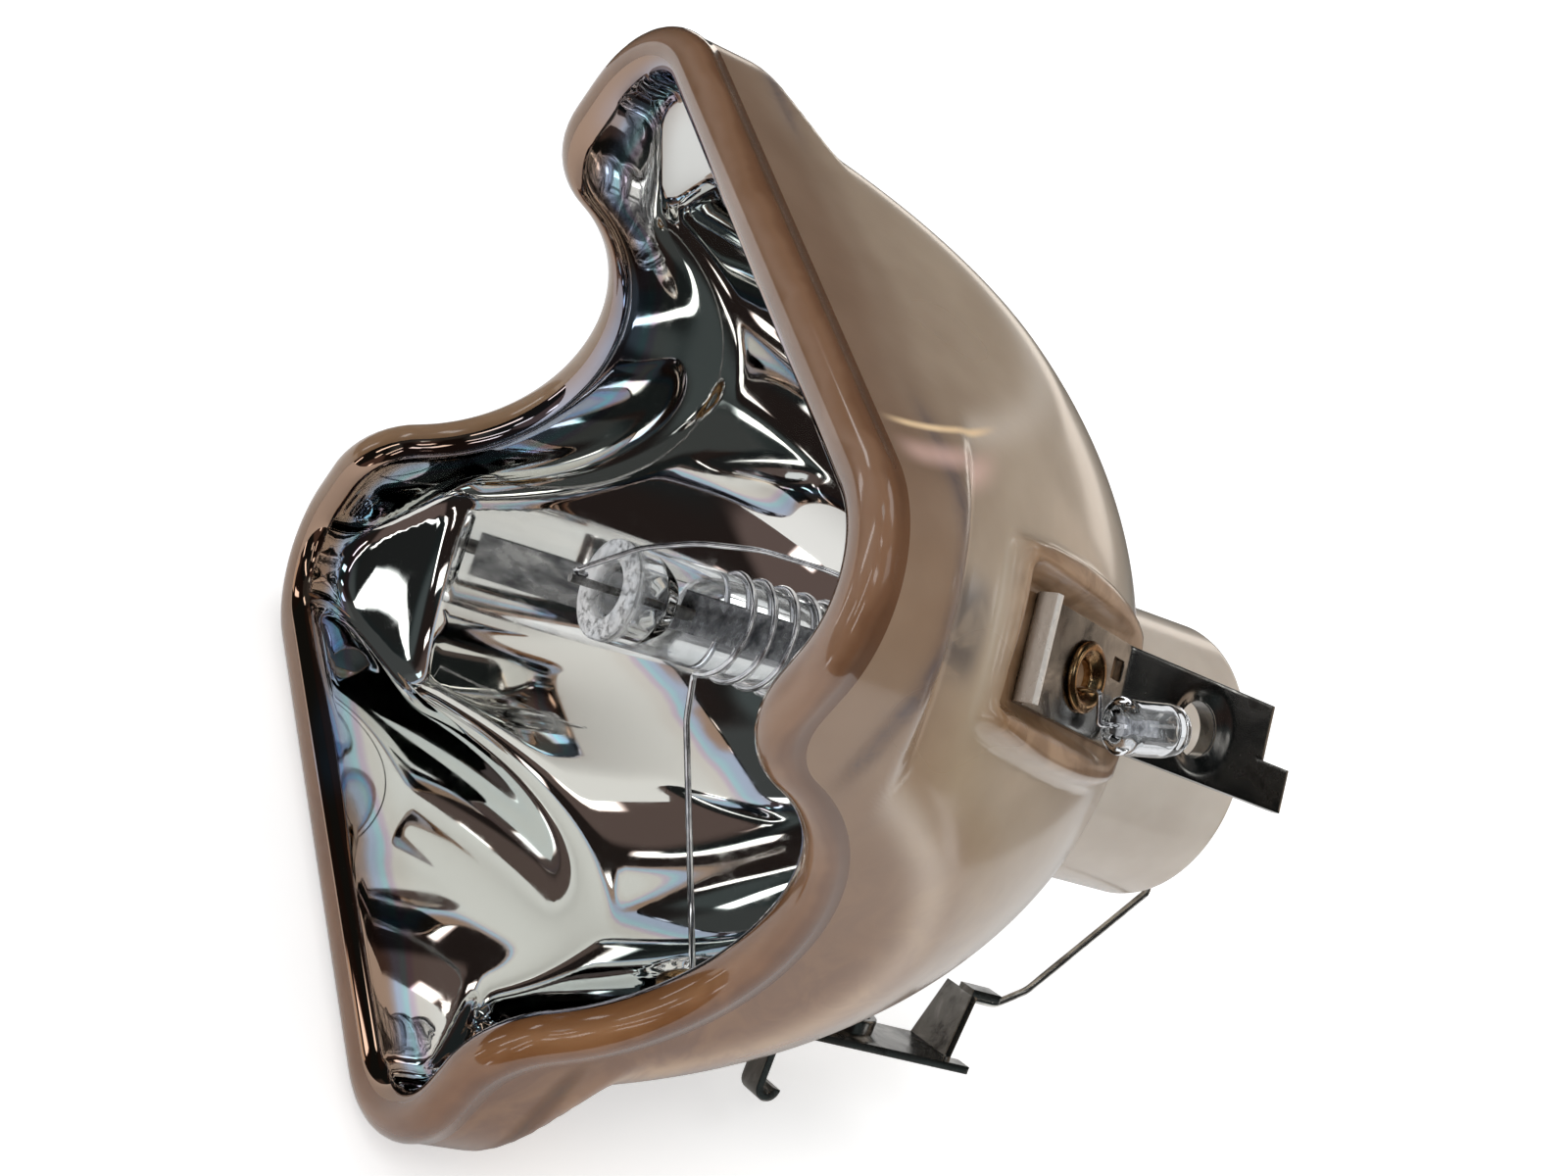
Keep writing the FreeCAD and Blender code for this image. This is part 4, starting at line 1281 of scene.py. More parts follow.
    def inside(self, angle: Array, depth: Array) -> Array:
        """Radius of the mirror: the lesser of square and ellipse, with corner pockets.

        Args:
            angle: Angles round the axis.
            depth: Depths behind the rim plane.

        Returns:
            The radius at each point.
        """
        foot = self.ellipse(np.array(self.pocket_foot), self.wall)
        slope = (self.pocket_radius - foot) / (self.pocket_foot - self.pocket_depth)
        pocket = foot + (self.pocket_foot - depth) * slope
        bowl = soft_max(self.ellipse(depth, self.wall), pocket, self.pocket_melt)
        bowl = soft_max(bowl, np.full_like(depth, self.neck_bore), self.bore_melt)
        half, corner = self.rim_half - self.wall_in, self.rim_corner - self.wall_in
        radius = soft_min(bowl, self.square(angle, half, corner), self.mirror_melt)
        for site in (SIDE, LOWER):
            radius = self.spot_faced(site, angle, depth, radius)
        return radius

    def spot_faced(self, site: Corner, angle: Array, depth: Array, radius: Array) -> Array:
        """Inner radius with the flat round recess under an eyelet's inner flange.

        Args:
            site: The terminal's corner.
            angle: Angles round the axis.
            depth: Depths behind the rim plane.
            radius: Inner radius without the recess.

        Returns:
            The radius with the recess.
        """
        local = site.unput(about_axis(radius, angle, depth)) - site.middle
        forward, normal = site.leaning(site.seat_tilt)
        off = np.hypot(local[..., 0], local @ forward)
        near = (local @ normal > -6.0) & (off < 4.0)
        floor, met = self.plane(site, angle, depth, -self.spot_face)
        cut = 1.0 - smooth_step(off, self.spot_radius, self.spot_radius + 0.45)
        return radius + np.where(near & met, cut * np.maximum(floor - radius, 0.0), 0.0)

    def columns_round(self) -> Array:
        """Angles of the columns, even along the rim line but closer together over the seats.

        Returns:
            One angle for each column.
        """
        angle = np.linspace(0.0, 2.0 * np.pi, 8001)
        line = self.rim_line(angle)
        run = np.linalg.norm(np.diff(line, axis=0), axis=1)
        middle = (angle[1:] + angle[:-1]) / 2
        for site in (SIDE, LOWER):
            off = (middle - np.radians(site.angle) + np.pi) % (2.0 * np.pi) - np.pi
            run = run * (1.0 + 0.9 * np.exp(-((off / 0.24) ** 4)))
        along = np.concatenate([[0.0], np.cumsum(run)])
        return np.interp(np.linspace(0.0, along[-1], self.columns, endpoint=False), along, angle)

    def skin(self, angle: Array, depth: Array, outer: bool) -> Array:
        """Points of the outer or the inner skin at angles and depths."""
        radius = self.outside(angle, depth) if outer else self.inside(angle, depth)
        return about_axis(radius, angle, depth)

    def wall_rows(self, start: Array, angle: Array, rows: int, outer: bool) -> Array:
        """Rows of one skin from the bead to the neck, even in the ellipse's own angle.

        The row's depth is centre + reach * sin(t), with t running evenly from the bead, and
        its angle moves from the bead's own to the column's over the first quarter.

        Args:
            start: Last points of the bead.
            angle: Angle of each column.
            rows: Number of rows.
            outer: The outer skin, or else the mirror.

        Returns:
            Grid of points.
        """
        inset = 0.0 if outer else self.wall
        reach = self.reach - inset
        last = (self.outer_last if outer else self.inner_last) - self.centre
        first = np.arcsin(np.clip((start[:, 1] - self.centre) / reach, -1.0, 1.0))
        share = (np.arange(1, rows + 1) / rows)[:, None]
        swing = first[None] + (np.arcsin(last / reach) - first[None]) * share
        own = np.arctan2(start[:, 0], start[:, 2])
        slip = (own - angle + np.pi) % (2.0 * np.pi) - np.pi
        turned = angle[None] + slip[None] * (1.0 - smooth_step(share, 0.0, 0.25))
        return self.skin(turned, self.centre + reach * np.sin(swing), outer)

    def build(self) -> bpy.types.Object:
        """Skin of the whole reflector, in glass, rim and mirror finishes.

        Returns:
            The reflector.
        """
        angle = self.columns_round()
        line = self.rim_line(angle)
        heading = unit(np.roll(line, -1, axis=0) - np.roll(line, 1, axis=0))
        level = unit(heading * np.array([1.0, 0.0, 1.0]))
        outward = np.cross(Y_AXIS, level)
        outward = outward * np.sign(np.einsum("ij,ij->i", outward, line))[:, None]
        ahead = np.cross(outward, heading)
        ahead = -ahead * np.sign(ahead[:, 1:2])
        tuck = -np.arccos(self.wall_out / self.bead)
        swing = np.linspace(tuck, np.pi, self.bead_rows)[:, None, None]
        width = np.where(swing > np.pi / 2, self.wall_in, self.bead)
        bead = line[None] + np.cos(swing) * width * outward[None] + np.sin(swing) * self.bead * ahead[None]
        outer = self.wall_rows(bead[0], angle, self.outer_rows, True)
        inner = self.wall_rows(bead[-1], angle, self.inner_rows, False)
        depth = np.concatenate([np.linspace(37.3, self.neck_end - 0.7, 22), [self.neck_end - 0.5]])
        neck = self.skin(np.broadcast_to(angle, (23, len(angle))), np.repeat(depth[:, None], len(angle), 1), True)
        edge, bore, end = self.neck_radius, self.neck_bore, self.neck_end
        lip = self.ring([(edge - 0.06, end - 0.26), (edge - 0.23, end - 0.08), (edge - 0.5, end), (8.2, end),
                         (bore + 0.3, end), (bore, end - 0.25), (bore, 44.0), (bore, self.neck_front)], angle)
        rows = [outer, neck, lip, inner[::-1], bead[::-1]]
        grid = np.concatenate(rows)
        from_rim = np.concatenate([self.distance(part, line) for part in rows])
        crest = np.repeat(np.linspace(1.0, 0.0, self.bead_rows)[:, None], self.columns, axis=1)
        round_bead = np.concatenate([np.zeros_like(from_rim[:-self.bead_rows]), crest])
        counts = [len(part) for part in rows]
        skirt = np.zeros_like(from_rim)
        marks = {}
        for name, values in self.outer_marks(np.concatenate([outer, neck])).items():
            marks[name] = skirt.copy()
            marks[name][:counts[0] + counts[1]] = values
        marks.update(from_rim=from_rim, round_bead=round_bead)
        coated = np.zeros(len(grid), dtype=int)
        mirror = counts[0] + counts[1] + counts[2] - 1
        rim = mirror + counts[3] + 1
        coated[mirror:rim] = 1
        coated[rim:] = 2
        coated[rim:rim + 5] = 1
        piece = Piece("reflector_bowl")
        piece.add(Patch(grid, wrap_rows=True, wrap_columns=True, finish=coated, marks=marks))
        finishes = [CoatedGlass().material(), MirrorCoat().material(), RimGlass().material()]
        return piece.build(finishes, "reflector", "reflector_glass")

    def ring(self, profile: list[tuple[float, float]], angle: Array) -> Array:
        """Rows of circles at given radii and depths, on the reflector's own columns.

        Args:
            profile: Radius and depth of each row.
            angle: Angle of each column.

        Returns:
            Grid of points.
        """
        radius, depth = np.array(profile).T
        return about_axis(radius[:, None], angle, depth[:, None])

    def distance(self, points: Array, line: Array) -> Array:
        """Distance in millimetres of each point from its column's place on the rim line."""
        return np.maximum(np.linalg.norm(points - line[None], axis=-1) - self.bead, 0.0)


# The burner


@dataclass
class Burner:
    """Fused tube with bulb and arc chamber, open and frosted at both cut ends."""

    arc: float = 26.428
    stem: float = 3.0
    front: float = 4.728
    rear: float = 49.4
    bore: float = 1.7
    bored: float = 18.05
    bulb: float = 5.0
    bulb_half: float = 6.0
    chamber: float = 2.3
    chamber_half: float = 3.4

    def outline(self) -> Array:
        """Outer profile from the front bore over the bulb to the rear bore.

        Returns:
            Radius and depth of each row.
        """
        depth = np.arange(self.front + 0.35, self.rear - 0.35, 0.2)
        share = np.clip((depth - self.arc) / self.bulb_half, -1.0, 1.0)
        round_bulb = self.bulb * np.sqrt(1.0 - share**2)
        radius = soft_max(round_bulb, np.full_like(depth, self.stem), 0.9)
        middle = np.stack([np.minimum(radius, self.bulb), depth], axis=-1)
        front = soft_profile([(0.0, self.arc - self.bored + 0.4), (1.1, self.arc - self.bored + 0.2),
                              (self.bore, self.arc - self.bored - 0.8), (self.bore, self.front),
                              (self.stem, self.front), (self.stem, self.front + 0.5)], 0.3)
        rear = soft_profile([(self.stem, self.rear - 0.5), (self.stem, self.rear), (self.bore, self.rear),
                             (self.bore, self.arc + self.bored + 0.8), (1.1, self.arc + self.bored - 0.2),
                             (0.0, self.arc + self.bored - 0.4)], 0.3)
        return np.concatenate([front[:-1], middle, rear[1:]])

    def build(self) -> bpy.types.Object:
        """Outer skin and arc chamber of the burner.

        Returns:
            The burner.
        """
        skin = lathe(self.outline(), 72)
        depth = skin.points[..., 1]
        radius = np.hypot(skin.points[..., 0], skin.points[..., 2])
        cut = np.maximum(1.0 - smooth_step(depth, self.front + 0.2, self.front + 1.1),
                         smooth_step(depth, self.rear - 1.1, self.rear - 0.2))
        skin.marks["frost"] = cut * smooth_step(radius, self.bore - 0.25, self.bore)
        swing = np.linspace(0.0, np.pi, 40)
        wall = np.stack([self.chamber * np.sin(swing), self.arc - self.chamber_half * np.cos(swing)], axis=-1)
        hollow = lathe(wall, 48)
        hollow.hollow = True
        piece = Piece("burner_tube")
        piece.add(skin)
        piece.add(hollow)
        return piece.build([ClearGlass().material()], "quartz_burner", "quartz")


@dataclass
class Wires:
    """The four lead wires of the lamp."""

    coil_radius: float = 3.21
    coil_start: float = 12.328
    coil_pitch: float = 1.65
    coil_turns: int = 5
    coil_wire: float = 0.2
    kink_radius: float = 6.0
    kink_advance: float = 0.6
    front_wire: float = 0.16
    rear_wire: float = 0.26
    pin: float = 0.25
    pin_front: float = 2.328
    pin_rear: float = 51.1
    thin_wire: float = 0.15
    spacing: float = 0.3
    touch: float = 0.01
    ear_width: float = 1.6
    ear_length: float = 1.9
    taper: float = 1.3
    eyelet_bore: float = 0.8
    entry_depths: tuple[float, float] = (-3.45, -1.85)
    arch_shares: tuple[float, ...] = (0.14, 0.26, 0.4, 0.56, 0.76)
    arch_lift: float = 3.6

    def drawn(self, name: str, node: str, line: Array, radius: float, sides: int,
              metal: WireMetal = WireMetal.BRIGHT) -> bpy.types.Object:
        """Round wire along a line, in its metal.

        Args:
            name: Name of the piece.
            node: CAD node that it stands for.
            line: Evenly spaced points of its centre line.
            radius: Radius of the wire.
            sides: Number of points round it.
            metal: Metal that it is drawn from.

        Returns:
            The wire.
        """
        piece = Piece(name)
        piece.add(wire(line, radius, sides))
        return piece.build([metal.value.material()], node, metal.value.name)

    def entry(self, site: Corner, radius: float) -> Array:
        """Last two points of a wire that runs into an eyelet from inside the bowl.

        Args:
            site: Corner whose eyelet takes the wire.
            radius: Radius of the wire.

        Returns:
            The two placed points.
        """
        shift = radius - self.eyelet_bore
        across = -shift if site is SIDE else shift
        return site.put(np.stack([site.seat(0, across, depth) for depth in self.entry_depths]))

    def antenna(self) -> bpy.types.Object:
        """Coil round the front stem, and its lead to the lower eyelet.

        The coil's point at turn t is (R sin a, start + pitch t, R cos a), with a falling from
        the lower corner's angle by one round for each turn.

        Returns:
            The wire.
        """
        turns = np.linspace(self.coil_turns, 0.0, self.coil_turns * 40 + 1)
        angle = np.radians(LOWER.angle) - 2.0 * np.pi * turns
        wobble = 0.05 * np.sin(2.3 * angle) + 0.03 * np.sin(5.1 * turns)
        coil = about_axis(self.coil_radius, angle, self.coil_start + self.coil_pitch * turns + wobble)
        kink = LOWER.radial * self.kink_radius + Y_AXIS * (self.coil_start + self.kink_advance)
        corners = np.concatenate([coil[-1:], kink[None], self.entry(LOWER, self.coil_wire)])
        lead = rounded_path(corners, 0.8)
        line = resampled(np.concatenate([coil, lead[1:]]), self.spacing)
        return self.drawn("antenna_coil", "antenna_wire", line, self.coil_wire, 12)

    def front_lead(self) -> bpy.types.Object:
        """Arched wire from the front pin to the side eyelet.

        Returns:
            The wire.
        """
        lift = unit(np.array([-1.0, 0.0, 1.0]))
        beside = lift * (self.pin + self.front_wire)
        bent = Y_AXIS * (self.pin_front + 0.1) + beside
        mouth, inside = self.entry(SIDE, self.front_wire)
        share = np.array(self.arch_shares)[:, None]
        arch = bent + (mouth - bent) * share + lift * self.arch_lift * np.sin(np.pi * share**0.8)
        corners = np.concatenate([[Y_AXIS * (self.pin_front + 1.0) + beside, bent], arch, [mouth, inside]])
        line = resampled(rounded_path(corners, 1.6), self.spacing)
        return self.drawn("front_lead", "front_lead_wire", line, self.front_wire, 10)

    def ear(self, along: float, out: float) -> Array:
        """Placed point over the middle of the lower terminal's ear.

        Args:
            along: Distance to the rear of the ear's fold.
            out: Height over its face.

        Returns:
            The point.
        """
        forward, normal = LOWER.leaning(LOWER.arm_tilt)
        shift = LOWER.hand * (LOWER.notch + self.taper + self.ear_width / 2)
        return LOWER.put(LOWER.flange_top + forward * along + X_AXIS * shift + normal * out)

    def rear_lead(self) -> bpy.types.Object:
        """Wire from the rear pin, out behind the neck and forward onto the ear.

        Returns:
            The wire.
        """
        sideways = -(rotation(Y_AXIS, LOWER.angle) @ X_AXIS)
        beside = sideways * (self.pin + self.rear_wire + self.touch)
        rear = Y_AXIS * (self.pin_rear - self.rear_wire)
        corners = np.stack([
            rear + beside - LOWER.radial * (2 * self.pin),
            rear + beside + LOWER.radial * 3.0,
            rear + sideways * 2.4 + LOWER.radial * 8.4,
            self.ear(self.ear_length + 2.4, self.rear_wire - 1.4),
            self.ear(self.ear_length + self.rear_wire, self.rear_wire + self.touch),
            self.ear(self.ear_length * 0.2, self.rear_wire + self.touch),
        ])
        line = resampled(rounded_path(corners, 0.6), self.spacing)
        return self.drawn("rear_lead", "rear_lead_wire", line, self.rear_wire, 14, WireMetal.NICKEL)

    def capsule_lead(self, start: Array, end: Array) -> bpy.types.Object:
        """Thin lead from the capsule's pinch into the side eyelet.

        Args:
            start: Unplaced point inside the pinch.
            end: Unplaced point in front of the pinch.

        Returns:
            The wire.
        """
        corners = SIDE.put(np.stack([start, end, SIDE.seat(0, 0.65, 1.1), SIDE.seat(0, 0.65, -0.35)]))
        line = resampled(rounded_path(corners, 0.4), self.spacing / 2)
        return self.drawn("capsule_wire", "capsule_lead", line, self.thin_wire, 10)


# The terminals


@dataclass
class Terminal:
    """Folded strip with its lip, window, screw hole, flange and tab."""

    site: Corner
    name: str
    node: str
    sheet: float = 0.5
    lip_reach: float = 5.8
    lip_height: float = 1.15
    lip_lean: float = 8.0
    fold: float = 0.55
    fold_room: float = 0.9
    screw_reach: float = 11.2
    hole: float = 1.6
    dimple: float = 0.4
    collar_wall: float = 0.5
    collar_depth: float = 1.2
    eyelet: float = 1.2
    window: float = 1.2
    window_reach: float = 3.4
    window_across: float = 1.2
    taper: float = 1.3
    cell: float = 0.2

    def lip(self) -> list[Array]:
        """Unplaced corners of the strip's outer face, from the edge of the lip to the bend.

        Returns:
            The three corners.
        """
        forward, normal = self.site.leaning(self.site.seat_tilt)
        lean = np.radians(self.lip_lean)
        foot = self.site.seat(-self.lip_reach)
        top = foot + (normal * np.cos(lean) - forward * np.sin(lean)) * self.lip_height
        return [top, foot, self.site.seat(self.site.bend_reach)]

    def reach_of(self, line: Array, point: Array) -> float:
        """Distance along a line at which it passes nearest to a point."""
        along = np.concatenate([[0.0], np.cumsum(np.linalg.norm(np.diff(line, axis=0), axis=1))])
        return float(along[np.argmin(np.linalg.norm(line - point, axis=1))])

    def columns(self, start: float, end: float) -> Array:
        """Distances across, about one cell apart."""
        return np.linspace(start, end, max(int(round((end - start) / self.cell)), 2) + 1)

    def middles(self, grid: Array) -> Array:
        """Value in the middle of every cell of a grid."""
        return (grid[:-1, :-1] + grid[1:, 1:]) / 2

    def panel(self, corners: list[Array], across: Array) -> Patch:
        """Sheet that follows a folded line: point = line(s) + across * w.

        Args:
            corners: Unplaced corners of the line on the outer face.
            across: Distances across.

        Returns:
            The patch, not yet placed, with its distances along the line as a mark.
        """
        line = resampled(rounded_path(np.stack(corners), self.fold), 0.02)
        length = float(np.linalg.norm(np.diff(line, axis=0), axis=1).sum())
        rows = max(int(round(length / self.cell)), 2)
        along = np.repeat(np.linspace(0.0, length, rows + 1)[:, None], len(across), axis=1)
        wide = np.repeat(across[None, :], rows + 1, axis=0)
        dropped = np.zeros((rows, len(across) - 1), dtype=bool)
        for radius, place in ((self.hole, self.site.arm(self.screw_reach)), (self.eyelet, self.site.seat(0.0))):
            if np.linalg.norm(line - place, axis=1).min() < 0.1:
                self.pierce(along, wide, dropped, self.reach_of(line, place), radius)
        place = self.site.seat(self.window_reach)
        if np.linalg.norm(line - place, axis=1).min() < 0.1:
            middle = self.middles(along), self.middles(wide)
            inside = np.abs(middle[0] - self.reach_of(line, place)) < self.window / 2
            dropped |= inside & (np.abs(middle[1] - self.site.hand * self.window_across) < self.window / 2)
        marks = np.linspace(0.0, length, len(line))
        base = np.stack([np.interp(along, marks, line[:, axis]) for axis in range(3)], axis=-1)
        points = base + wide[..., None] * X_AXIS
        off = np.linalg.norm(points - self.site.arm(self.screw_reach), axis=-1)
        sunk = self.dimple * (1.0 - smooth_step(off, self.hole - 0.1, self.hole + 1.0))
        points = points - sunk[..., None] * self.site.leaning(self.site.arm_tilt)[1]
        return Patch(points, dropped=dropped, marks={"reach": along})

    def pierce(self, along: Array, wide: Array, dropped: Array, at: float, radius: float) -> None:
        """Drop the cells inside a round hole, and move the points of its edge onto its circle.

        Args:
            along: Distances along, changed at the edge.
            wide: Distances across, changed at the edge.
            dropped: Mask of the cells, changed inside.
            at: Distance along of the hole's middle.
            radius: Radius of the hole.
        """
        middle = self.middles(along), self.middles(wide)
        inside = np.hypot(middle[0] - at, middle[1]) < radius
        gone, stays = np.pad(inside, 1), np.pad(~inside, 1)
        corners = [(slice(down, down + along.shape[0]), slice(right, right + along.shape[1]))
                   for down in (0, 1) for right in (0, 1)]
        edge = np.any([gone[corner] for corner in corners], axis=0)
        edge &= np.any([stays[corner] for corner in corners], axis=0)
        off = np.hypot(along - at, wide)
        scale = np.where(edge, radius / np.maximum(off, 1e-6), 1.0)
        along[...] = at + (along - at) * scale
        wide[...] = wide * scale
        dropped |= inside

    def sheets(self) -> list[Patch]:
        """Strip, flange and tab, placed, with their shared edges on the same points.

        Returns:
            The three patches.
        """
        site = self.site
        notch, edge = site.hand * site.notch, site.hand * site.half_width
        inner, outer = self.columns(*sorted((notch, edge))), self.columns(*sorted((notch, -edge)))
        across = np.unique(np.concatenate([inner, outer]))
        parting = site.arm(site.arm_end - self.fold_room)
        strip = self.panel(self.lip() + [parting], across)
        # Mark of the lip's knurled face, which the plate material gives both relief and a painted highlight.
        knurl = 1.0 - smooth_step(strip.marks["reach"], self.lip_height - 0.5, self.lip_height + 0.1)
        flange = self.panel([parting, site.arm(site.arm_end), site.flange_top], inner)
        share = np.clip((flange.marks["reach"] - self.fold_room) / site.flange_height, 0.0, 1.0)
        lead = (flange.points[..., 0] - edge) / (notch - edge)
        flange.points[..., 0] += site.hand * self.taper * share * lead
        tab = self.panel([parting, (parting + site.arm(site.tab_end)) / 2, site.arm(site.tab_end)], outer)
        strip.marks = {"knurl": knurl}
        flange.marks = tab.marks = {}
        return [strip, flange, tab]

    def collar(self) -> Patch:
        """Drawn collar under the screw hole: a closed ring whose top lies in the sheet.

        Returns:
            The ring, placed.
        """
        low, high = -self.sheet - self.collar_depth, -self.dimple - 0.15
        outer = self.hole + self.collar_wall
        profile = soft_profile([(self.hole + 0.02, high), (self.hole + 0.02, low), (outer, low),
                                (outer, -self.sheet - 0.1), (self.hole + 0.02, high)], 0.15)
        return self.site.stand(lathe(profile[:-1], 56), self.site.arm(self.screw_reach), self.site.arm_tilt)

    def build(self, extras: tuple[Patch, ...] = ()) -> bpy.types.Object:
        """The strip in its finish, with its thickness and worn edges, and its collar.

        Args:
            extras: More unplaced panels of the same sheet.

        Returns:
            The terminal.
        """
        finish = StampedPlate().material()
        piece = Piece(self.name)
        for sheet in self.sheets() + list(extras):
            sheet.points = self.site.put(sheet.points)
            piece.add(sheet)
        terminal = piece.build([finish], self.node, "nickelled_strip", closed=False)
        self.thicken(terminal)
        ring = Piece(self.name + "_collar")
        ring.add(self.collar())
        ring.build([finish], self.node, "nickelled_strip")
        return terminal

    def thicken(self, terminal: bpy.types.Object) -> None:
        """Give the sheet its thickness under the outer face, and wear its edges round.

        Args:
            terminal: Object of the strip.
        """
        wall = terminal.modifiers.new("sheet", "SOLIDIFY")
        wall.thickness = self.sheet * MM
        wall.offset = -1.0
        wall.use_even_offset = True
        worn = terminal.modifiers.new("worn_edges", "BEVEL")
        worn.width = 0.1 * MM
        worn.segments = 2
        worn.limit_method = "ANGLE"
        worn.angle_limit = np.radians(50.0)


@dataclass
class LowerTerminal(Terminal):
    """The lower strip, with its hook for a spring and its ear for the rear lead wire."""

    hook_reach: float = 6.2
    hook_height: float = 5.0
    hook_half: float = 1.0
    curl: float = 0.9
    ear_width: float = 1.6
    ear_length: float = 1.9

    def hook(self) -> Patch:
        """Hook: a strip that rises from the arm and curls over in half a circle.

        Returns:
            The hook, not yet placed.
        """
        forward, normal = self.site.leaning(self.site.arm_tilt)
        rise = np.linspace(-self.sheet, self.hook_height - self.curl, 22)[:, None]
        swing = np.linspace(0.0, np.pi, 19)[1:, None]
        stem = self.site.arm(self.hook_reach) + normal * rise
        curl = stem[-1] + forward * self.curl * (1.0 - np.cos(swing)) + normal * self.curl * np.sin(swing)
        line = np.concatenate([stem, curl])
        across = np.linspace(-self.hook_half, self.hook_half, 9)
        return Patch(line[:, None] + across[None, :, None] * X_AXIS)

    def ear(self) -> Patch:
        """Ear: a flat tongue folded to the rear from the top of the flange.

        Returns:
            The ear, not yet placed.
        """
        forward = self.site.leaning(self.site.arm_tilt)[0]
        middle = self.site.flange_top + X_AXIS * self.site.hand * (self.site.notch + self.taper + self.ear_width / 2)
        along = np.linspace(-self.sheet, self.ear_length, 13)[:, None, None] * forward
        across = np.linspace(-self.ear_width / 2, self.ear_width / 2, 9)[None, :, None] * X_AXIS
        return Patch(middle + along + across)

    def build(self, extras: tuple[Patch, ...] = ()) -> bpy.types.Object:
        """The strip with its hook and ear."""
        return super().build((self.hook(), self.ear()) + extras)


@dataclass
class Eyelet:
    """Brass tube through the wall, flared outside and rolled inside."""

    site: Corner
    name: str
    node: str
    bore: float = 0.8
    tube: float = 1.2
    flare: float = 1.95
    height: float = 0.4
    seat: float = 2.45

    def build(self) -> bpy.types.Object:
        """The eyelet in its finish.

        Returns:
            The eyelet.
        """
        profile = soft_profile([
            (self.bore, -0.7), (self.bore + 0.1, -0.1), (self.tube + 0.05, 0.26), (1.5, self.height),
            (1.78, self.height - 0.04), (self.flare, 0.18), (self.flare - 0.08, 0.02), (self.tube, 0.02),
            (self.tube, -self.seat), (self.flare, -self.seat - 0.02), (self.flare, -self.seat - 0.25),
            (1.5, -self.seat - self.height + 0.02), (self.tube, -self.seat - 0.3), (self.bore, -self.seat + 0.1),
            (self.bore, -0.7),
        ], 0.12, 0.1)
        piece = Piece(self.name)
        piece.add(self.site.stand(lathe(profile[:-1], 56), self.site.middle, self.site.seat_tilt))
        return piece.build([SpunBrass().material()], self.node, "eyelet_brass")


@dataclass
class Capsule:
    """Small clear starting capsule with a flattened pinch, and its lead."""

    radius: float = 1.55
    hollow: float = 1.05
    length: float = 4.9
    pinch_length: float = 1.7
    lead_level: float = 0.15

    @property
    def front(self) -> Array:
        """Unplaced point at the tip of the pinch, on the capsule's axis."""
        return SIDE.arm(8.4 - self.length - self.pinch_length, 2.1, self.radius + 0.5)

    def aligned(self, points: Array) -> Array:
        """Points turned about the axis from depth 0, brought onto the capsule's own axis.

        Args:
            points: Points about the axis.

        Returns:
            The points, not yet placed.
        """
        way = unit(SIDE.arm(8.4, 0.75, self.radius) - self.front)
        tilt = np.degrees(np.arccos(way[1]))
        return points @ rotation(np.cross(Y_AXIS, way), tilt).T + self.front

    def build(self, wires: "Wires") -> bpy.types.Object:
        """Glass of the capsule, and the lead that leaves its pinch.

        Args:
            wires: Maker of the lead.

        Returns:
            The capsule.
        """
        end = self.pinch_length + self.length - 0.7
        skin = lathe(soft_profile([
            (0.0, 0.0), (0.5, 0.0), (0.62, 0.35), (0.7, 0.7), (1.35, 1.0), (self.radius, 1.4), (self.radius, 4.4),
            (1.4, 5.35), (0.8, end), (0.0, end),
        ], 0.45, 0.12), 56)
        flat = 1.0 - smooth_step(skin.points[..., 1], 0.5, 1.4)
        skin.points = skin.points * np.stack([1.0 + 0.42 * flat, np.ones_like(flat), 1.0 - 0.12 * flat], axis=-1)
        hollow = lathe(soft_profile([
            (0.0, 1.3), (0.6, 1.35), (self.hollow, 1.7), (self.hollow, 4.5), (0.8, 5.2), (0.0, 5.4),
        ], 0.35, 0.12), 40)
        hollow.hollow = True
        piece = Piece("starting_capsule")
        for shell in (skin, hollow):
            shell.points = SIDE.put(self.aligned(shell.points))
            piece.add(shell)
        capsule = piece.build([ClearGlass("capsule_clear", frosted=False, index=1.47).material()],
                              "starter_capsule", "capsule_glass")
        inner, outer = self.aligned(np.array([[0.0, 1.36, self.lead_level], [0.0, -0.9, self.lead_level]]))
        wires.capsule_lead(inner, outer)
        return capsule


@dataclass
class Cement:
    """Cement ring between the stem and the neck, sunk and lumpy at its ends."""

    stem: float = 3.02
    bore: float = 6.58

    def build(self) -> bpy.types.Object:
        """The cement, whose end faces are lowered by a sum of sines in angle and radius.

        Returns:
            The cement.
        """
        low, high = (corner[1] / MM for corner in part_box("neck_cement"))
        ring = lathe(soft_profile([
            (self.stem, high - 0.25), (4.2, high - 0.75), (5.6, high - 0.6), (self.bore, high - 0.15),
            (self.bore, low + 0.05), (4.6, low + 0.35), (self.stem, low + 0.05), (self.stem, high - 0.25),
        ], 0.3, 0.25)[:-1], 90)
        ring.wrap_rows = True
        x, depth, z = np.moveaxis(ring.points, -1, 0)
        angle, radius = np.arctan2(x, z), np.hypot(x, z)
        lumps = sum(size * np.sin(turns * angle + waves * radius)
                    for size, turns, waves in ((0.05, 7, 3), (0.04, 13, -5), (0.03, 29, 0)))
        middle = (low + high) / 2
        sunk = smooth_step(np.abs(depth - middle), 3.0, 4.6) * (0.11 + lumps)
        ring.points[..., 1] = depth - np.sign(depth - middle) * sunk
        piece = Piece("sand_cement")
        piece.add(ring)
        return piece.build([GrittyCement().material()], "neck_cement", "cement")


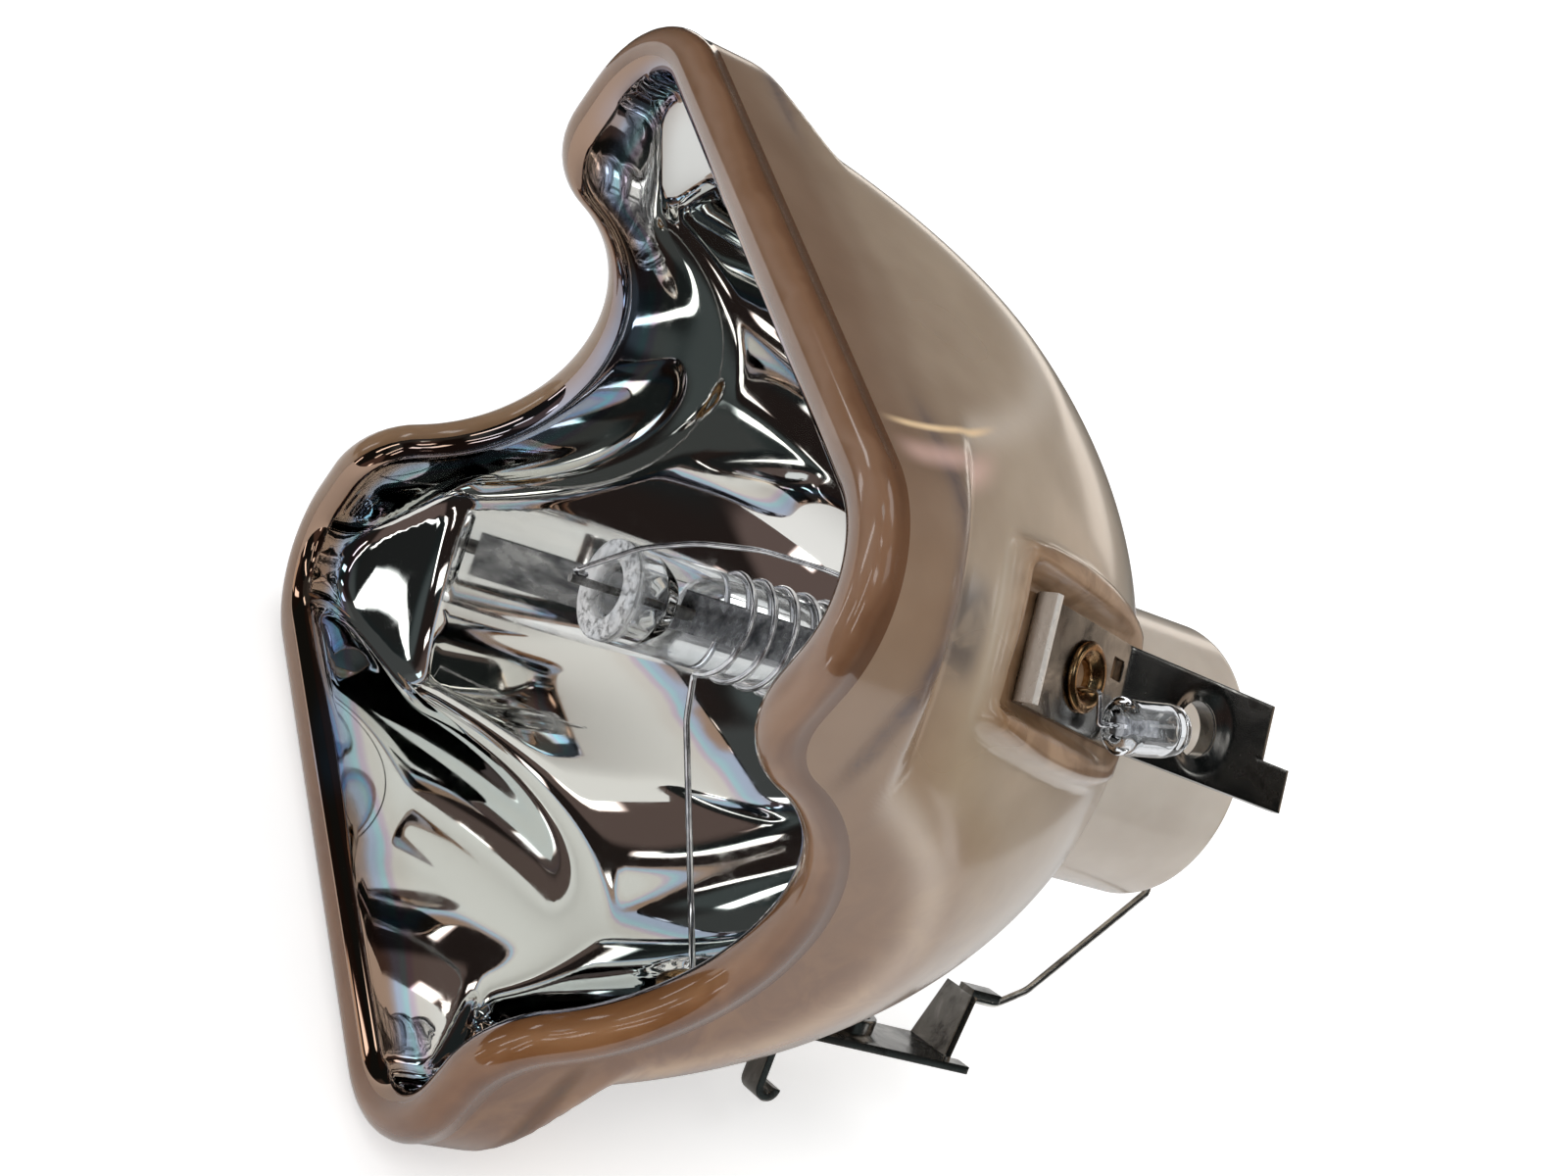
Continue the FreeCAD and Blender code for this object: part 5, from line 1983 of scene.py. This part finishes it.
class SealedMetal(Enum):
    """Finishes of the metal pieces that the glass holds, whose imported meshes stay."""

    TUNGSTEN = HotMetal("tungsten_dark", (58, 56, 58), (128, 126, 126), 0.4)
    FOIL = HotMetal("sealing_foil", (104, 104, 108), (196, 196, 198), 0.3, 1600.0, 0.00002)
    PIN = HotMetal("seal_pin", (96, 94, 92), (186, 184, 182), 0.3)
    MERCURY = HotMetal("mercury_bead", (196, 198, 202), (236, 238, 240), 0.06, 500.0, 0.000004)


KEPT_NODES = {
    "front_electrode": SealedMetal.TUNGSTEN,
    "rear_electrode": SealedMetal.TUNGSTEN,
    "front_foil": SealedMetal.FOIL,
    "rear_foil": SealedMetal.FOIL,
    "capsule_foil": SealedMetal.FOIL,
    "front_lead_pin": SealedMetal.PIN,
    "rear_lead_pin": SealedMetal.PIN,
    "mercury_dose": SealedMetal.MERCURY,
}


def dress_kept_nodes() -> None:
    """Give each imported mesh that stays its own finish."""
    finishes = {metal: metal.value.material() for metal in SealedMetal}
    for name, metal in KEPT_NODES.items():
        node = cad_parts[name]
        for slot in node.material_slots:
            slot.material = finishes[metal]
        LOG.info("%s: kept, in %s", name, metal.value.name)


# The stage and the camera


@dataclass(frozen=True)
class Opening:
    """Bright rectangle of the tent: its middle, its half sizes in degrees, and its light."""

    around: float
    rise: float
    wide: float
    tall: float
    level: float
    tint: tuple = (255, 255, 255)


@dataclass(frozen=True)
class Stage:
    """White floor, soft lamps, the room that the mirror shows, and the camera."""

    floor_level: float = -25.6
    floor_half: float = 1600.0
    floor_glow: float = 0.45
    lens: float = 53.27
    eye: tuple = (91.7, -61.55, 68.8)
    forward: tuple = (-0.6752, 0.5624, -0.4774)
    up: tuple = (-0.6927, -0.2609, 0.6724)
    tent_radius: float = 150.0
    soft_boxes: tuple[tuple, ...] = (
        ("key", (0.35, -0.55, 0.75), 0.6, 3.2),
        ("fill", (0.8, 0.25, 0.35), 0.7, 1.2),
        ("top", (-0.2, 0.3, 1.0), 0.9, 3.0),
    )
    openings: tuple[Opening, ...] = (
        Opening(158.0, -68.0, 14.0, 5.0, 1.1, (206, 244, 255)),
        Opening(176.0, -58.0, 12.0, 1.0, 1.2, (180, 226, 255)),
        Opening(152.0, 76.0, 16.0, 4.0, 1.4, (214, 244, 255)),
        Opening(170.0, 34.0, 2.5, 15.0, 3.0),
        Opening(128.0, -12.0, 3.0, 7.0, 2.5),
        Opening(-150.0, 12.0, 2.5, 9.0, 2.5),
        Opening(-130.0, 48.0, 10.0, 3.0, 2.5),
        Opening(112.0, 46.0, 8.0, 3.0, 2.2),
        Opening(-168.0, -28.0, 6.0, 2.5, 2.0),
        Opening(146.0, 14.0, 2.0, 5.0, 2.2),
        Opening(-45.0, 10.0, 28.0, 4.0, 1.6, (255, 244, 232)),
        Opening(2.0, 12.0, 17.0, 12.0, 0.75, (226, 206, 188)),
        Opening(-156.0, -12.0, 9.0, 8.0, 1.0, (255, 240, 224)),
        Opening(-178.0, -8.0, 1.5, 10.0, 3.0),
        Opening(118.0, 22.0, 1.5, 8.0, 3.0),
        Opening(-112.0, -20.0, 2.0, 8.0, 2.2),
        Opening(60.0, 52.0, 12.0, 8.0, 0.7),
        Opening(30.0, -12.0, 3.0, 16.0, 1.4),
        Opening(134.0, 30.0, 1.2, 12.0, 3.0),
        Opening(-140.0, -34.0, 9.0, 1.5, 2.6),
        Opening(160.0, -30.0, 8.0, 1.2, 2.8, (236, 232, 255)),
        Opening(124.0, 62.0, 7.0, 1.5, 2.6),
        Opening(18.0, 33.0, 3.0, 2.0, 2.4),
        Opening(0.0, 74.0, 40.0, 6.0, 1.2),
    )

    def camera(self) -> None:
        """Camera at the photograph's place, with its roll."""
        forward = unit(np.array(self.forward))
        up = unit(np.array(self.up) - forward * float(np.dot(self.up, forward)))
        right = np.cross(forward, up)
        data = bpy.data.cameras.new("camera")
        data.lens = self.lens
        data.sensor_width = 36.0
        data.clip_start = 0.001
        eye = bpy.data.objects.new("camera", data)
        bpy.context.scene.collection.objects.link(eye)
        turn = np.eye(4)
        turn[:3, 0], turn[:3, 1], turn[:3, 2] = right, up, -forward
        turn[:3, 3] = np.array(self.eye) * MM
        eye.matrix_world = Matrix(turn.tolist())
        bpy.context.scene.camera = eye

    def surface(self, name: str, grid: Array, finish: Material) -> bpy.types.Object:
        """Plain object from a grid of points, for the stage.

        Args:
            name: Name of the object.
            grid: Points in millimetres, rows by columns by 3.
            finish: Its material.

        Returns:
            The object.
        """
        mesh = bpy.data.meshes.new(name)
        mesh.from_pydata((grid.reshape(-1, 3) * MM).tolist(), [], Patch(grid).quads()[0].tolist())
        mesh.materials.append(finish)
        surface = bpy.data.objects.new(name, mesh)
        bpy.context.scene.collection.objects.link(surface)
        return surface

    def floor(self) -> None:
        """Wide white floor under the lamp."""
        side = np.linspace(-self.floor_half, self.floor_half, 9)
        x, y = np.meshgrid(side, side)
        graph = Graph("floor_white")
        pale = graph.ramp(graph.noise(3.0), [(0.3, (252, 252, 252)), (0.7, (255, 255, 255))])
        graph.link(pale, "Base Color")
        graph.set(Roughness=0.9, Specular_IOR_Level=0.1, Emission_Color=(1, 1, 1, 1))
        seen = graph.node("LightPath").outputs["Is Camera Ray"]
        graph.link(graph.times(seen, self.floor_glow), "Emission Strength")
        floor = self.surface("floor", np.stack([x, y, np.full_like(x, self.floor_level)], axis=-1), graph.material)

    def room(self) -> None:
        """Tent that only reflections see, as a dim room with bright openings.

        The tent is a sphere about the lamp, (R cos b sin a, R cos b cos a, R sin b), whose
        openings are rectangles in those two angles.
        """
        around = np.linspace(-np.pi, np.pi, 121)[None, :]
        rise = np.linspace(-np.pi / 2, np.pi / 2, 61)[:, None]
        grid = self.tent_radius * np.stack(np.broadcast_arrays(
            np.cos(rise) * np.sin(around), np.cos(rise) * np.cos(around), np.sin(rise)), axis=-1)
        tent = self.surface("tent", grid, self.tent_finish())
        for name, value in (("around", around), ("rise", rise)):
            degrees = np.degrees(np.broadcast_to(value, grid.shape[:2])).reshape(-1).astype(np.float32)
            tent.data.attributes.new(name, "FLOAT", "POINT").data.foreach_set("value", degrees)
        tent.visible_camera = False
        tent.visible_diffuse = False
        tent.visible_shadow = False
        tent.visible_transmission = False

    def tent_finish(self) -> Material:
        """Glow of the tent: a pale table below, dim furniture round it, and bright openings.

        Returns:
            The glowing material.
        """
        graph = Graph("tent_glow")
        around, rise = graph.mark("around"), graph.mark("rise")
        blocks = graph.node("TexVoronoi", Vector=graph.place, Scale=11.0)
        blocks.feature = "SMOOTH_F1"
        blocks.inputs["Smoothness"].default_value = 0.35
        parts = graph.node("SeparateColor", Color=blocks.outputs["Color"])
        belt = graph.span(parts.outputs[0], 0.35, 1.0, 0.018, 0.13)
        table = graph.span(rise, -44.0, -47.0, 0.0, 0.42)
        ceiling = graph.span(rise, 58.0, 72.0, 0.0, 0.1)
        glow = graph.maths("MAXIMUM", graph.maths("MAXIMUM", belt, table), ceiling)
        dusk = graph.mix(graph.span(parts.outputs[1], 0.3, 0.8), linear((214, 236, 240)), linear((248, 214, 206)))
        tint = graph.mix(graph.span(rise, -42.0, -46.0), dusk, linear((246, 244, 236)))
        for opening in self.openings:
            off = graph.apart(around, opening.around)
            over = graph.apart(rise, opening.rise)
            wide = graph.span(off, opening.wide + 1.0, opening.wide - 0.5)
            tall = graph.span(over, opening.tall + 1.0, opening.tall - 0.5)
            lit = graph.times(wide, tall)
            glow = graph.plus(glow, graph.times(lit, opening.level))
            tint = graph.mix(lit, tint, linear(opening.tint))
        graph.link(glow, "Emission Strength")
        graph.link(tint, "Emission Color")
        graph.set(Base_Color=(0, 0, 0, 1), Specular_IOR_Level=0.0, Roughness=1.0)
        graph.material.cycles.emission_sampling = "NONE"
        return graph.material

    def lamps(self) -> None:
        """Large soft lamps over and beside the part: name, place and size in metres, power in watts."""
        for name, place, size, power in self.soft_boxes:
            data = bpy.data.lights.new(name, "AREA")
            data.energy = power
            data.size = size
            lamp = bpy.data.objects.new(name, data)
            bpy.context.scene.collection.objects.link(lamp)
            back = unit(np.array(place))
            side = unit(np.cross(Z_AXIS, back))
            turn = np.eye(4)
            turn[:3, 0], turn[:3, 1], turn[:3, 2], turn[:3, 3] = side, np.cross(back, side), back, place
            lamp.matrix_world = Matrix(turn.tolist())
            lamp.visible_glossy = False

    def world(self) -> None:
        """White surroundings for the eye, reflections and glass, and plain grey light."""
        world = bpy.data.worlds.new("surroundings")
        bpy.context.scene.world = world
        world.use_nodes = True
        tree = world.node_tree
        background = tree.nodes["Background"]
        path = tree.nodes.new("ShaderNodeLightPath")
        seen = path.outputs["Is Camera Ray"]
        for name in ("Is Glossy Ray", "Is Transmission Ray"):
            either = tree.nodes.new("ShaderNodeMath")
            either.operation = "MAXIMUM"
            tree.links.new(seen, either.inputs[0])
            tree.links.new(path.outputs[name], either.inputs[1])
            seen = either.outputs[0]
        level = tree.nodes.new("ShaderNodeMapRange")
        level.inputs[3].default_value = 0.4
        level.inputs[4].default_value = 1.0
        tree.links.new(seen, level.inputs[0])
        tree.links.new(level.outputs[0], background.inputs["Strength"])
        background.inputs["Color"].default_value = (1, 1, 1, 1)

    def build(self) -> None:
        """Set the whole stage."""
        self.camera()
        self.floor()
        self.room()
        self.lamps()
        self.world()
        bpy.context.scene.view_settings.view_transform = "Standard"


def main() -> None:
    """Build every piece of the lamp in order, and then its stage."""
    Reflector().build()
    Burner().build()
    wires = Wires()
    wires.antenna()
    wires.front_lead()
    wires.rear_lead()
    Terminal(SIDE, "side_strip", "side_terminal").build()
    LowerTerminal(LOWER, "lower_strip", "lower_terminal").build()
    Eyelet(SIDE, "side_rivet", "side_eyelet").build()
    Eyelet(LOWER, "lower_rivet", "lower_eyelet").build()
    Capsule().build(wires)
    Cement().build()
    dress_kept_nodes()
    Stage().build()


if __name__ == "__main__":
    main()
